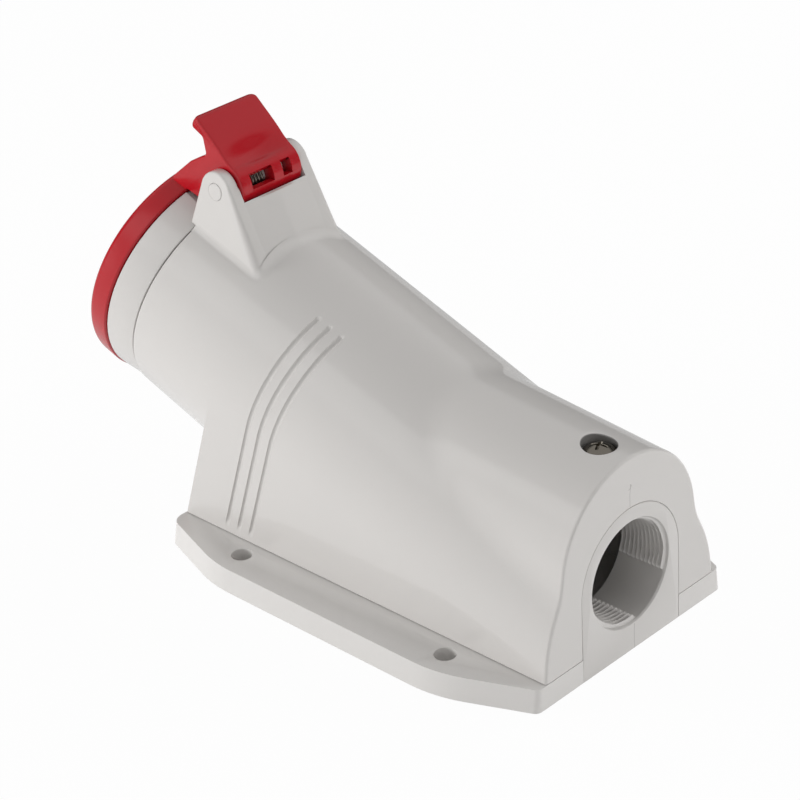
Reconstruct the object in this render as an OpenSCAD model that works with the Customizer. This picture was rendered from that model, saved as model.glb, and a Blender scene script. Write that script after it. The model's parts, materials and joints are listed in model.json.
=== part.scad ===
// Angled surface mounting socket: a hooded wall housing on a base plate with fixing lugs, a tilted
// socket barrel with a five pole contact insert, a sprung lid over it and a threaded cable entry.
// The back of the base plate lies on Z = 0, +X points to the cable entry, the socket faces -X and up.

/* [Base plate] */
// Length of the base plate at its top
base_len = 147; // [138:1:160]
// Thickness of the base plate at its rim
base_thick = 7.5; // [6.5:0.5:10]
// Width by which the sides spread from the top to the back
base_draft = 1; // [0.2:0.1:1.5]
// Thickness of the floor inside the rim
base_floor = 3; // [2.5:0.5:4]
// Width of base showing beside the housing at the cable end
near_ledge = 2.6; // [2:0.1:5]
// Width of base showing beside the housing at the socket end
far_ledge = 5.2; // [3:0.1:7]
// Length of the slope from each end to the full lug width
lug_slope_len = 28; // [20:1:34]
// Distance between the fixing holes along the base
hole_dx = 83.2; // [70:0.1:92]
// Distance from the housing side to the centre of a fixing hole
hole_offset = 6.1; // [5:0.1:8]
// Distance from the centre of a fixing hole to the lug edge at the top
lug_edge = 8.5; // [6.5:0.1:11]
// Diameter of a fixing hole
hole_d = 6.6; // [4.5:0.1:7.5]
// Radius that rounds the lug shoulders
shoulder_r = 45; // [20:1:55]
// Radius of the corners at the cable end
near_corner_r = 2.5; // [1:0.5:4]
// Radius of the corners at the socket end
far_corner_r = 5; // [2:0.5:8]
// Height of the locating lip inside the housing wall
lip_h = 4; // [2:0.5:6]
// Thickness of the locating lip and of the stiffening ribs
rib_t = 2; // [1.5:0.1:3]

/* [Housing] */
// Wall thickness of the housing
wall = 3; // [2.5:0.1:3.6]
// Angle of the socket axis above the wall
tilt = 20; // [16:0.5:24]
// Diameter of the barrel and width of the housing
barrel_d = 73.8; // [70:0.2:78]
// Height of the socket axis at the front seam of the barrel
seam_height = 66; // [62:0.5:70]
// Distance from the socket end of the base to the front seam
seam_overhang = 15; // [11:0.5:19]
// Height of the hood roof at the cable end
hood_top = 62.5; // [59:0.5:65]
// Radius of the hood roof
hood_r = 29; // [27:0.5:31]
// Slope of the hood roof along its length
hood_slope = 5.5; // [4:0.5:7]
// Gap between the housing and the base plate, filled by the seal
seam_gap = 0.5; // [0.3:0.1:1]
// Distance from the front seam to the first decorative groove
groove_start = 51.2; // [46:0.2:58]
// Spacing of the decorative grooves
groove_pitch = 4.8; // [3.5:0.1:7]
// Radius of a decorative groove
groove_r = 1; // [0.7:0.1:1.4]
// Depth of a decorative groove
groove_depth = 0.6; // [0.3:0.1:0.7]
// Angle from the top of the barrel at which the grooves begin
groove_angle = 26; // [18:1:40]

/* [Cable entry] */
// Nominal diameter of the entry thread
entry_d = 32; // [25:0.5:33]
// Width of the smooth mouth rim around the thread
mouth_rim = 0.8; // [0.5:0.1:1.5]
// Depth of the smooth mouth rim
mouth_depth = 1.2; // [0.8:0.1:2]
// Height of the entry axis above the back
entry_z = 25.4; // [24:0.2:27]
// Length of the threaded bore
entry_depth = 17; // [14:0.5:20]
// Width of the flat panel around the mouth
panel_margin = 4.4; // [3.5:0.1:5]
// Wall of the threaded boss
boss_wall = 2.6; // [2:0.1:3.4]
// Width by which the retaining flange stands past the panel
flange_lap = 2; // [1.5:0.1:3]
// Thickness of the retaining flange
flange_t = 2.6; // [2:0.1:3.5]
// Width by which the sole reaches under the base plate
sole_lap = 4; // [2.5:0.5:6]
// Thickness of the sole
sole_t = 2.4; // [1.8:0.1:2.8]

/* [Housing screw] */
// Distance from the end face to the screw
screw_from_end = 10.6; // [10:0.2:12]
// Thread diameter of the screw
screw_d = 4; // [3.5:0.5:5]
// Diameter of the screw head
screw_head_d = 8.8; // [7.5:0.1:9.4]
// Height of the screw head
screw_head_h = 2.6; // [2:0.1:3.2]
// Clearance around the screw head in its counterbore
counterbore_gap = 0.7; // [0.4:0.1:1]
// Depth of the head below the hood roof
counterbore_depth = 1.2; // [0.8:0.1:3]
// Thickness of the sealing washer under the head
washer_t = 1; // [0.6:0.1:1.6]
// Height of the screw post above the threaded boss
post_h = 4; // [3:0.5:6]
// Length of the threaded insert in the post
nut_h = 5; // [4:0.5:6]
// Wall of the screw post with its threaded insert
post_wall = 3; // [2.8:0.1:3.4]
// Radial play of the screw in the housing
screw_play = 0.3; // [0.2:0.05:0.5]
// Length of the cross recess in the screw head
recess_len = 4.5; // [3.5:0.1:5.5]
// Turn of the cross recess
recess_turn = 20; // [0:5:90]

/* [Hinge] */
// Distance of the pin behind the front seam
pin_back = 3.9; // [3:0.1:5]
// Height of the pin above the barrel surface
pin_rise = 10.8; // [10.5:0.1:12.5]
// Diameter of the hinge pin
pin_d = 6.2; // [5:0.1:6.6]
// Radius of an ear around the pin
ear_r = 6.1; // [5.6:0.1:7]
// Thickness of an ear at the pin
ear_t = 4; // [3:0.1:6]
// Draft of the outer faces of the hinge block
ear_draft = 5; // [0:0.5:8]
// Width of the slot between the ears
slot_w = 25; // [22:0.2:27]
// Clearance of the lid knuckle in the slot
slot_gap = 1.15; // [0.9:0.05:1.6]
// Angle of the back of the hinge block to the barrel
block_slope = 44; // [38:1:50]
// Height of the crease along the middle of the back of the hinge block
block_crease = 0.9; // [0.4:0.1:1.2]

/* [Lid] */
// Width by which the lid rim stands past the barrel
lid_overlap = 1.3; // [0.6:0.1:2.5]
// Depth of the lid rim
lid_depth = 8.2; // [7:0.1:10]
// Radius of the front edge of the lid
lid_edge_r = 2.6; // [1:0.1:3]
// Rise of the lid face from its edge to its middle
lid_dome = 1; // [0:0.1:2]
// Thickness of the lid face
lid_wall = 2.5; // [2:0.1:3]
// Clearance between the closed lid and the collar
lid_gap = 0.3; // [0.25:0.05:0.6]
// Side clearance of the lid arm in the slot
arm_gap = 0.35; // [0.3:0.05:0.8]
// Radius of the lid knuckle around the pin
knuckle_r = 7.4; // [7:0.1:8]
// Angle of the tab face to the socket axis
tab_angle = 21.6; // [18:0.2:26]
// Length of the tab face from the knuckle to the nose
tab_reach = 20; // [17:0.2:23]
// Radius of the rolled nose of the tab
tab_nose_r = 1.9; // [1.5:0.1:2.4]
// Thickness of the side walls of the knuckle
cheek_t = 4; // [3:0.1:5]
// Thickness of the rib between the windows of the knuckle
mid_rib_t = 2.8; // [2:0.1:4]
// Distance of that rib from the middle of the knuckle
rib_side = 3.1; // [0:0.1:4]
// Angle from the socket axis to the upper edge of the windows
window_top = 128; // [124:1:134]
// Angle from the socket axis to the lower edge of the windows
window_low = 162; // [154:1:176]
// Radius of the finger hollow under the tab
hollow_r = 3; // [2.4:0.1:3.4]

/* [Lid spring] */
// Diameter of the spring wire
wire_d = 0.9; // [0.6:0.1:1]
// Number of turns in the spring
spring_turns = 5; // [3:1:6]
// Play between the spring and the pin
spring_play = 0.7; // [0.5:0.1:0.9]
// Gap between the turns of the spring
coil_gap = 0.05; // [0.03:0.01:0.1]

/* [Lid gasket] */
// Width of the lid gasket
gasket_w = 3.4; // [2.5:0.1:4]
// Thickness of the lid gasket
gasket_t = 2.6; // [2:0.1:3]

/* [Socket collar] */
// Length of the collar in front of the seam
collar_len = 11.2; // [9:0.1:14]
// Gap at the front seam, filled by the flat seal
collar_gap = 0.6; // [0.4:0.1:1]
// Wall of the collar tube inside the barrel
collar_wall = 1.4; // [1.2:0.1:2]
// Flare of the collar from the seam to its front edge
collar_flare = 1.4; // [0.6:0.1:2]
// Step of the collar below the barrel surface at the seam
collar_step = 0.5; // [0.2:0.1:1]
// Width of the keyway
key_w = 9; // [7:0.5:12]
// Depth of the keyway
key_depth = 1.7; // [1.2:0.1:2]
// Height of the notch for the lid arm above the collar bore
notch_rise = 2.6; // [2:0.1:3]
// Clearance of the lid arm above the notch
notch_gap = 1.4; // [0.8:0.1:1.8]

/* [Contact insert] */
// Diameter of the contact carrier
carrier_d = 55; // [53:0.5:56]
// Depth of the carrier face below the collar edge
carrier_recess = 4; // [2:0.5:8]
// Thickness of the carrier flange
carrier_flange_t = 4; // [3:0.5:5]
// Length of the carrier behind the partition
carrier_tail = 9; // [7:0.5:12]
// Diameter of the circle of contacts
contact_circle = 38; // [36:0.5:38]
// Diameter of the phase and neutral pins that fit
phase_pin_d = 6; // [5:0.5:6]
// Diameter of the earth pin that fits
earth_pin_d = 8; // [7:0.5:8]
// Wall of a contact sleeve
sleeve_wall = 1.3; // [1:0.1:1.5]
// Depth of the sleeve ends below the carrier face
sleeve_recess = 5; // [4:0.5:8]
// Length of the turned down nose of a sleeve
sleeve_nose = 1; // [0.5:0.1:2]
// Depth of a sleeve bore
sleeve_depth = 30; // [24:1:32]
// Width of the collar ring on a contact
contact_ring_w = 1.2; // [0.8:0.1:1.4]
// Thickness of the collar ring on a contact
contact_ring_t = 2; // [1.5:0.1:3]
// Length of a terminal
terminal_len = 15; // [12:0.5:18]
// Diameter of the wire hole in a terminal
wire_hole_d = 5.6; // [4:0.2:6]
// Thickness of the clamp plate behind the carrier
clamp_t = 3; // [2.5:0.5:4]
// Thread diameter of a terminal screw
terminal_screw_d = 3.5; // [3:0.5:4]
// Thread diameter of a carrier screw
carrier_screw_d = 3; // [2.5:0.5:3.5]

/* [Fits] */
// Clearance between pieces that seat in each other
fit = 0.1; // [0.05:0.05:0.2]
// Radial clearance of the lid on its pin
pin_fit = 0.05; // [0.03:0.01:0.08]

/* [Hidden] */
$fn = 96;
// Sides of a decorative groove and of a spring turn, and step of the arc on the lid edge
groove_sides = 24;
coil_sides = 16;
wire_sides = 6;
arc_step = 15;
// Half sizes and radii
half_len = base_len / 2;
body_r = barrel_d / 2;
bore_r = body_r - wall;
hole_y = body_r + hole_offset;
lug_y = hole_y + lug_edge;
// Length that passes every solid, for cutting
past = 400;
// Small run past a face, for clean cuts
over = 1;
// Places on the socket axis
seam_x = -half_len - seam_overhang;
housing_z = base_thick + seam_gap;
front_x = -half_len + seam_gap;
front_s = (front_x - seam_x) * cos(tilt) + (seam_height - base_thick) * sin(tilt);
partition_t = wall + seam_gap;
rear_len = (half_len - seam_x) / cos(tilt) + seam_height * tan(tilt);
// Hood
hood_z = hood_top - hood_r / cos(hood_slope);
hood_len = base_len * 2 / 3;
// Cable entry
thread_r = entry_d / 2;
mouth_r = thread_r + mouth_rim;
panel_r = mouth_r + panel_margin;
flange_r = panel_r + flange_lap;
sole_y = flange_r + sole_lap;
boss_r = mouth_r + boss_wall;
post_top = entry_z + boss_r + post_h;
post_r = screw_d / 2 + post_wall;
// Housing screw
screw_x = half_len - screw_from_end;
head_seat = hood_top + screw_from_end * tan(hood_slope) - counterbore_depth - screw_head_h - washer_t;
counterbore_r = screw_head_d / 2 + counterbore_gap;
screw_hole_r = screw_d / 2 + screw_play;
// Hinge, as distance along the socket axis and height above it
pin_s = -pin_back;
pin_h = body_r + pin_rise;
pin_r = pin_d / 2;
ear_y = slot_w / 2 + ear_t;
slot_r = knuckle_r + slot_gap;
arm_w = slot_w - 2 * arm_gap;
// Collar
spigot_r = bore_r - fit;
collar_ir = spigot_r - collar_wall;
collar_back_r = body_r - collar_step;
collar_front_r = collar_back_r + collar_flare;
notch_h = collar_ir + notch_rise;
// Lid
lid_r = body_r + lid_overlap;
lid_back = collar_len + lid_gap;
lid_front = lid_back + lid_depth;
gasket_or = collar_ir + gasket_w;
gasket_seat_r = gasket_or + fit;
// Contact insert
carrier_r = carrier_d / 2;
carrier_front = collar_len - carrier_recess;
carrier_back = -front_s - partition_t - carrier_tail;
flange_front = -front_s + carrier_flange_t;
sleeve_front = carrier_front - sleeve_recess;
nose_back = sleeve_front - sleeve_nose;
ring_back = carrier_back - contact_ring_t;
clamp_back = ring_back - clamp_t;
circle_r = contact_circle / 2;
carrier_screw_y = (carrier_r + bore_r) / 2;
CONTACTS = [[252, phase_pin_d], [324, phase_pin_d], [36, phase_pin_d], [108, phase_pin_d],
    [180, earth_pin_d]];
// Colours
shell_grey = "#d9d8d3";
insert_grey = "#cfcec9";
lid_red = "#a8161d";
rubber = "#2b2b2b";
brass = "#c8a24a";
steel = "#b4b2ad";

// Unit vector along v
function unit(v) = v / norm(v);

// Points of the arc of radius r that rounds the corner b between a and c, convex or hollow
function corner(a, b, c, r, n) =
    let (u = unit(a - b), w = unit(c - b), half = acos(u * w) / 2)
    let (mid = b + unit(u + w) * r / sin(half), from = b + u * r / tan(half) - mid)
    let (turn = sign((b - a)[0] * (c - b)[1] - (b - a)[1] * (c - b)[0]) * (180 - 2 * half))
    let (start = atan2(from[1], from[0]))
    r == 0 ? [b] : [for (i = [0:n]) mid + r * [cos(start + turn * i / n), sin(start + turn * i / n)]];

// Outline with each corner rounded by its own radius
function rounded(pts, radii, n = 8) = let (m = len(pts))
    [for (i = [0:m - 1]) each corner(pts[(i + m - 1) % m], pts[i], pts[(i + 1) % m], radii[i], n)];

// Place at distance d and angle a from the hinge pin
function from_pin(d, a) = [pin_s + d * cos(a), pin_h + d * sin(a)];

// Frame on the plane Y = 0 whose Z leans by angle above -X, with its X upwards
module leaning(x, z, angle) {
    translate([x, 0, z]) rotate([0, angle - 90, 0]) children();
}

// Frame of the socket: Z along its axis out of the front seam, X upwards
module on_axis(s = 0) {
    leaning(seam_x, seam_height, tilt) translate([0, 0, s]) children();
}

// Frame of the end face: Z into the housing, X upwards
module on_end(z = 0) {
    leaning(half_len, z, 0) children();
}

// Carries an outline of distance along the socket axis and height above it across the width w
module across(w, y = 0) {
    translate([0, y, 0]) rotate([0, -90, -90]) linear_extrude(height = w, center = true) children();
}

// Ring around the frame's Z
module ring(r_out, r_in, h) {
    difference() {
        cylinder(h = h, r = r_out);
        translate([0, 0, -over]) cylinder(h = h + 2 * over, r = r_in);
    }
}

// Half round arch of radius r about the frame's Z, with straight legs down by drop
module arch(r, drop) {
    intersection() {
        circle(r);
        translate([0, -past / 2]) square([past / 2, past]);
    }
    translate([-drop, -r]) square([drop, 2 * r]);
}

// Everything between two heights and short of the plane x
module keep(x, z_low) {
    intersection() {
        children();
        translate([x - past, -past / 2, z_low]) cube(past);
    }
}

// Hooded body behind the front wall, with its faces moved in by inset
module body_form(inset) {
    keep(half_len - inset, inset > 0 ? 0 : housing_z) {
        on_axis(-front_s - rear_len) linear_extrude(rear_len - (inset > 0 ? partition_t : 0))
            arch(body_r - inset, seam_height);
        leaning(half_len, hood_z, hood_slope) translate([0, 0, -hood_z])
            linear_extrude(hood_len + hood_z) arch(hood_r - inset, hood_top);
    }
}

// Side outline of the hinge block without its sloping back
module block_outline() {
    heel = from_pin(ear_r, 90 + block_slope);
    foot_drop = heel[1] - bore_r;
    translate([pin_s, pin_h]) circle(ear_r);
    polygon([[pin_s + ear_r, pin_h], heel, heel - [foot_drop / tan(block_slope), foot_drop],
        [pin_s + ear_r, bore_r]]);
}

// Hinge block with two ears, a slot for the lid knuckle and a creased sloping back
module hinge_block() {
    back_len = (pin_h - bore_r) / sin(block_slope);
    foot_y = ear_y + (pin_h - bore_r) * tan(ear_draft);
    top_y = ear_y - ear_r * tan(ear_draft);
    difference() {
        intersection() {
            union() {
                across(2 * foot_y) block_outline();
                translate([pin_h, 0, pin_s]) rotate([0, block_slope, 0])
                    translate([ear_r, 0, -back_len]) linear_extrude(back_len)
                    polygon([[-ear_r, -foot_y], [0, -foot_y], [block_crease, 0],
                        [0, foot_y], [-ear_r, foot_y]]);
            }
            translate([0, 0, -past / 2]) linear_extrude(past) polygon([[bore_r, -foot_y],
                [bore_r, foot_y], [pin_h + ear_r, top_y], [pin_h + ear_r, -top_y]]);
        }
        across(slot_w) {
            translate([pin_s, pin_h]) circle(slot_r);
            translate([pin_s, pin_h - slot_r]) square([past / 4, past / 4]);
            polygon([[pin_s, pin_h], from_pin(past / 4, 90 + block_slope), from_pin(past / 4, 90),
                [pin_s, pin_h + past / 4]]);
        }
        cylinder(h = past, r = collar_back_r + collar_gap);
    }
}

// Three half round grooves on each side, round the barrel and straight down the wall
module grooves() {
    groove_y = body_r + groove_r - groove_depth;
    groove_end = base_thick + 4 * groove_r;
    for (side = [-1, 1], i = [0:2]) {
        s = -groove_start - i * groove_pitch;
        low = (groove_end - seam_height - s * sin(tilt)) / cos(tilt);
        on_axis(s) {
            rotate([0, 0, side > 0 ? groove_angle : -90]) rotate_extrude(angle = 90 - groove_angle)
                translate([groove_y, 0]) circle(groove_r, $fn = groove_sides);
            translate([low, side * groove_y, 0]) rotate([0, 90, 0])
                cylinder(h = -low, r = groove_r, $fn = groove_sides);
            rotate([0, 0, side * groove_angle]) translate([groove_y, 0, 0])
                sphere(groove_r, $fn = groove_sides);
            translate([low, side * groove_y, 0]) sphere(groove_r, $fn = groove_sides);
        }
    }
}

// Tube under the roof that takes the housing screw
module screw_tube() {
    translate([screw_x, 0, post_top])
        cylinder(h = hood_top - wall / 2 - post_top, r = counterbore_r + wall / 2);
}

// Counterbore and hole for the housing screw
module screw_cuts() {
    translate([screw_x, 0, head_seat]) cylinder(h = past, r = counterbore_r);
    translate([screw_x, 0, 0]) cylinder(h = past, r = screw_hole_r);
}

// One moulding: hood, barrel, partition, hinge block and screw tube
module housing() {
    color(shell_grey) difference() {
        union() {
            difference() {
                union() {
                    body_form(0);
                    on_axis(-front_s) cylinder(h = front_s, r = body_r);
                    on_axis() hinge_block();
                }
                body_form(wall);
                on_axis(-front_s) cylinder(h = past, r = bore_r);
            }
            screw_tube();
        }
        on_axis(-past / 2) cylinder(h = past, r = carrier_r + fit);
        for (side = [-1, 1]) on_axis(-past / 2) translate([0, side * carrier_screw_y, 0])
            cylinder(h = past, r = carrier_screw_d / 2 + fit);
        on_axis() across(past) translate([pin_s, pin_h]) circle(pin_r + fit / 4);
        on_end(entry_z) translate([0, 0, -over]) linear_extrude(wall + 2 * over)
            arch(panel_r + fit, entry_z);
        grooves();
        screw_cuts();
    }
}

// Slab of the base plate with its two lugs, wider at the back; its end at the cable entry is upright
module base_slab() {
    near_y = body_r + near_ledge + base_draft;
    far_y = body_r + far_ledge + base_draft;
    far_x = -half_len - base_draft;
    side_y = lug_y + base_draft;
    lug_x = half_len - lug_slope_len;
    shrink = [base_len / (base_len + base_draft), lug_y / side_y];
    translate([half_len, 0, 0]) linear_extrude(base_thick, scale = shrink, slices = 1)
        translate([-half_len, 0]) polygon(rounded([[half_len, -near_y], [half_len, near_y],
            [lug_x, side_y], [-lug_x, side_y], [far_x, far_y],
            [far_x, -far_y], [-lug_x, -side_y], [lug_x, -side_y]],
            [near_corner_r, near_corner_r, shoulder_r, shoulder_r,
            far_corner_r, far_corner_r, shoulder_r, shoulder_r]));
}

// Rectangle inside the housing wall, moved in by inset
module inside_wall(inset) {
    far_x = front_x + (partition_t + lip_h * sin(tilt)) / cos(tilt) + fit + inset;
    near_x = half_len - wall - flange_t - 2 * fit - inset;
    side_y = bore_r - fit - inset;
    translate([far_x, -side_y]) square([near_x - far_x, 2 * side_y]);
}

// Run of the seal groove under the housing wall
module seal_run(w) {
    mid_y = body_r - wall / 2;
    far_x = front_x + wall / 2;
    near_x = half_len - wall / 2;
    difference() {
        translate([far_x - w / 2, -mid_y - w / 2]) square([near_x - far_x + w, 2 * mid_y + w]);
        translate([far_x + w / 2, -mid_y + w / 2]) square([near_x - far_x - w, 2 * mid_y - w]);
        translate([0, -sole_y]) square([past, 2 * sole_y]);
    }
}

// Plate with a rim, a ribbed floor, a locating lip, seal groove and cut-out for the entry insert
module base_plate() {
    rib_step = base_len / 6;
    color(shell_grey) difference() {
        union() {
            base_slab();
            linear_extrude(base_thick + lip_h) difference() {
                inside_wall(0);
                inside_wall(rib_t);
            }
        }
        difference() {
            translate([0, 0, base_floor]) linear_extrude(past) inside_wall(rib_t);
            for (i = [-2:1]) translate([i * rib_step - rib_t / 2, -past / 2, 0])
                cube([rib_t, past, base_thick]);
        }
        for (x = [-1, 1], y = [-1, 1]) translate([x * hole_dx / 2, y * hole_y, -over])
            cylinder(h = base_thick + 2 * over, r = hole_d / 2);
        translate([0, 0, base_thick - wall / 2]) linear_extrude(past) seal_run(wall / 2 + fit);
        on_end(0) {
            translate([entry_z, 0, -over]) cylinder(h = entry_depth + 2 * over, r = boss_r + fit);
            translate([-over, -panel_r - fit, -over]) cube([past, 2 * (panel_r + fit), wall + 2 * over]);
            translate([-over, -flange_r - fit, wall])
                cube([past, 2 * (flange_r + fit), flange_t + 2 * fit]);
            translate([-over, -sole_y - fit, wall])
                cube([sole_t + over, 2 * (sole_y + fit), flange_t + 2 * fit]);
        }
    }
}

// Panel with a threaded boss, a flange behind the end wall, a sole under the base and a screw post
module entry_insert() {
    color(insert_grey) difference() {
        union() {
            on_end(entry_z) {
                linear_extrude(wall + over) arch(panel_r, entry_z);
                cylinder(h = entry_depth, r = boss_r);
                translate([0, 0, wall + fit]) linear_extrude(flange_t) arch(flange_r, entry_z);
            }
            on_end(0) translate([0, -sole_y, wall + fit]) cube([sole_t, 2 * sole_y, flange_t]);
            translate([screw_x, 0, entry_z]) cylinder(h = post_top - entry_z, r = post_r);
        }
        on_end(entry_z) {
            translate([0, 0, -over]) cylinder(h = entry_depth + 2 * over, r = thread_r);
            translate([0, 0, -over]) cylinder(h = mouth_depth + over, r = mouth_r);
        }
        translate([screw_x, 0, post_top - nut_h]) cylinder(h = past, r = post_r - boss_wall / 2);
    }
}

// Rubber cord in the groove of the base, up to the housing wall
module housing_seal() {
    groove_floor = base_thick - wall / 2;
    color(rubber) translate([0, 0, groove_floor]) linear_extrude(housing_z - groove_floor)
        seal_run(wall / 2);
}

// Pan head screw with a cross recess
module housing_screw() {
    shank = head_seat + washer_t - post_top + nut_h;
    color(steel) translate([screw_x, 0, head_seat + washer_t]) difference() {
        union() {
            intersection() {
                cylinder(h = screw_head_h, r = screw_head_d / 2);
                translate([0, 0, screw_head_h - screw_head_d]) sphere(screw_head_d);
            }
            translate([0, 0, -shank]) cylinder(h = shank + over, r = screw_d / 2);
        }
        for (turn = [0, 90]) rotate(recess_turn + turn)
            translate([-recess_len / 2, -screw_d / 8, screw_head_h / 3])
            cube([recess_len, screw_d / 4, screw_head_h]);
    }
}

// Sealing washer under the screw head
module screw_washer() {
    color(rubber) translate([screw_x, 0, head_seat])
        ring(screw_head_d / 2, screw_d / 2 + fit, washer_t);
}

// Threaded insert in the screw post
module screw_nut() {
    color(brass) translate([screw_x, 0, post_top - nut_h])
        ring(post_r - boss_wall / 2 - fit / 4, screw_d / 2 + fit / 4, nut_h);
}

// Shroud tube in the barrel with a flared rim in front, a keyway below and a notch for the lid arm
module collar() {
    color(shell_grey) on_axis() difference() {
        rotate_extrude() polygon([[collar_ir, flange_front], [spigot_r, flange_front],
            [spigot_r, collar_gap], [collar_back_r, collar_gap], [collar_front_r, collar_len],
            [collar_ir, collar_len]]);
        translate([-collar_ir - key_depth, -key_w / 2, flange_front - over])
            cube([collar_ir, key_w, past]);
        translate([notch_h, -slot_w / 2, collar_gap]) cube(slot_w);
    }
}

// Flat seal in the front seam
module collar_seal() {
    color(rubber) on_axis() ring(collar_back_r - collar_gap, spigot_r + fit, collar_gap);
}

// Radii of the sleeve, of its nose, of the ring behind it and of the terminal on contact i
function sleeve_r(i) = CONTACTS[i][1] / 2 + sleeve_wall;
function nose_r(i) = sleeve_r(i) - sleeve_wall / 2;
function contact_ring_r(i) = sleeve_r(i) + contact_ring_w;
function terminal_r(i) = sleeve_r(i) + contact_ring_w / 2;

// Frame of contact i on the circle of contacts, with its X away from the middle
module at_contact(i, s) {
    on_axis(s) rotate(CONTACTS[i][0]) translate([circle_r, 0, 0]) children();
}

// Insulating block with five stepped holes and a seating flange
module contact_carrier() {
    color(insert_grey) difference() {
        union() {
            on_axis(carrier_back) cylinder(h = carrier_front - carrier_back, r = carrier_r);
            on_axis(-front_s) cylinder(h = carrier_flange_t, r = bore_r - fit);
        }
        for (i = [0:4]) {
            at_contact(i, carrier_back - over)
                cylinder(h = nose_back - carrier_back + over, r = sleeve_r(i) + fit);
            at_contact(i, carrier_back) cylinder(h = past, r = nose_r(i) + fit);
        }
        for (side = [-1, 1]) on_axis(-front_s - over) translate([0, side * carrier_screw_y, 0])
            cylinder(h = carrier_flange_t * 3 / 4 + over, r = carrier_screw_d / 2 + fit / 4);
        on_axis(carrier_back - over) cylinder(h = carrier_tail, r = carrier_screw_d / 2 + fit / 4);
    }
}

// Plate that clamps the contact rings to the back of the carrier
module clamp_plate() {
    color(insert_grey) difference() {
        on_axis(clamp_back) cylinder(h = clamp_t + contact_ring_t, r = carrier_r - fit);
        for (i = [0:4]) {
            at_contact(i, ring_back) cylinder(h = past, r = contact_ring_r(i) + fit);
            at_contact(i, clamp_back - over) cylinder(h = past, r = terminal_r(i) + fit);
        }
        on_axis(clamp_back - over) cylinder(h = past, r = carrier_screw_d / 2 + fit);
    }
}

// Countersunk style screw with a flat head and a slot, head at the low end of its Z
module slotted_screw(d, length, head_d, head_h) {
    difference() {
        union() {
            cylinder(h = length + head_h, r = d / 2);
            cylinder(h = head_h, r = head_d / 2);
        }
        translate([-head_d, -d / 8, -over]) cube([2 * head_d, d / 4, head_h / 2 + over]);
    }
}

// Screw through the middle of the clamp plate
module clamp_screw() {
    head_h = carrier_screw_d * 2 / 3;
    length = clamp_t + contact_ring_t + carrier_tail / 2;
    color(steel) on_axis(clamp_back - head_h)
        slotted_screw(carrier_screw_d, length, 2 * carrier_screw_d, head_h);
}

// Contact i: a slit sleeve with a nose, a seating ring and a terminal with a wire hole and a screw hole
module contact(i) {
    color(brass) difference() {
        union() {
            at_contact(i, ring_back) cylinder(h = nose_back - ring_back, r = sleeve_r(i));
            at_contact(i, ring_back) cylinder(h = sleeve_front - ring_back, r = nose_r(i));
            at_contact(i, ring_back) cylinder(h = contact_ring_t, r = contact_ring_r(i));
            at_contact(i, clamp_back - terminal_len)
                cylinder(h = terminal_len + clamp_t + contact_ring_t / 2, r = terminal_r(i));
        }
        at_contact(i, sleeve_front - sleeve_depth) cylinder(h = past, r = CONTACTS[i][1] / 2 + fit / 2);
        at_contact(i, sleeve_front - sleeve_depth * 2 / 3)
            translate([-sleeve_wall / 4, 0, 0]) cube([sleeve_wall / 2, past, past]);
        at_contact(i, clamp_back - terminal_len - over)
            cylinder(h = terminal_len * 5 / 6 + over, r = wire_hole_d / 2);
        at_contact(i, clamp_back - terminal_len / 2) rotate([0, 90, 0])
            cylinder(h = past, r = terminal_screw_d / 2 + fit / 4);
    }
}

// Clamping screw in the side of terminal i
module terminal_screw(i) {
    head_h = terminal_screw_d / 2;
    length = terminal_r(i) - wire_hole_d / 4;
    color(steel) at_contact(i, clamp_back - terminal_len / 2) rotate([0, -90, 0])
        translate([0, 0, -terminal_r(i) - head_h])
        slotted_screw(terminal_screw_d, length, terminal_screw_d * 5 / 4, head_h);
}

// Screw from behind the partition into the carrier flange
module carrier_screw(side) {
    head_h = carrier_screw_d * 2 / 3;
    length = partition_t + carrier_flange_t / 2;
    color(steel) on_axis(-front_s - partition_t - head_h) translate([0, side * carrier_screw_y, 0])
        slotted_screw(carrier_screw_d, length, carrier_screw_d * 4 / 3, head_h);
}

// Pin through both ears
module hinge_pin() {
    color(shell_grey) on_axis() across(2 * ear_y) translate([pin_s, pin_h]) circle(pin_r);
}

// Side outline of the lid arm and its tab: a face that leans forward, a rolled nose, a hollow for
// the finger below it and an arm down to the rim of the lid
module lid_arm_outline() {
    face_top = from_pin(knuckle_r, 90 + tab_angle);
    along = [cos(tab_angle), sin(tab_angle)];
    nose = face_top + tab_reach * along - tab_nose_r * [-along[1], along[0]];
    under = nose - [tab_nose_r * 2, tab_nose_r * 5 / 4];
    root = [pin_s + knuckle_r + tab_nose_r / 2, pin_h + knuckle_r / 3];
    rim_top = [lid_front - lid_edge_r / 2, lid_r - lid_edge_r / 4];
    translate([pin_s, pin_h]) circle(knuckle_r);
    translate(nose) circle(tab_nose_r);
    polygon(rounded([[pin_s, pin_h], face_top, face_top + tab_reach * along, nose - [0, tab_nose_r],
        under, root - [-tab_nose_r, -tab_nose_r * 3 / 2], root, rim_top,
        [lid_front - lid_wall, collar_ir], [lid_back, collar_ir], [lid_back, notch_h + notch_gap],
        [pin_s + ear_r + lid_gap, pin_h - slot_r + slot_gap / 2], [pin_s, pin_h - knuckle_r]],
        [0, 0, 0, 0, hollow_r / 2, hollow_r, hollow_r / 2, 0, 0, 0, 0, 0, 0]));
}

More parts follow.
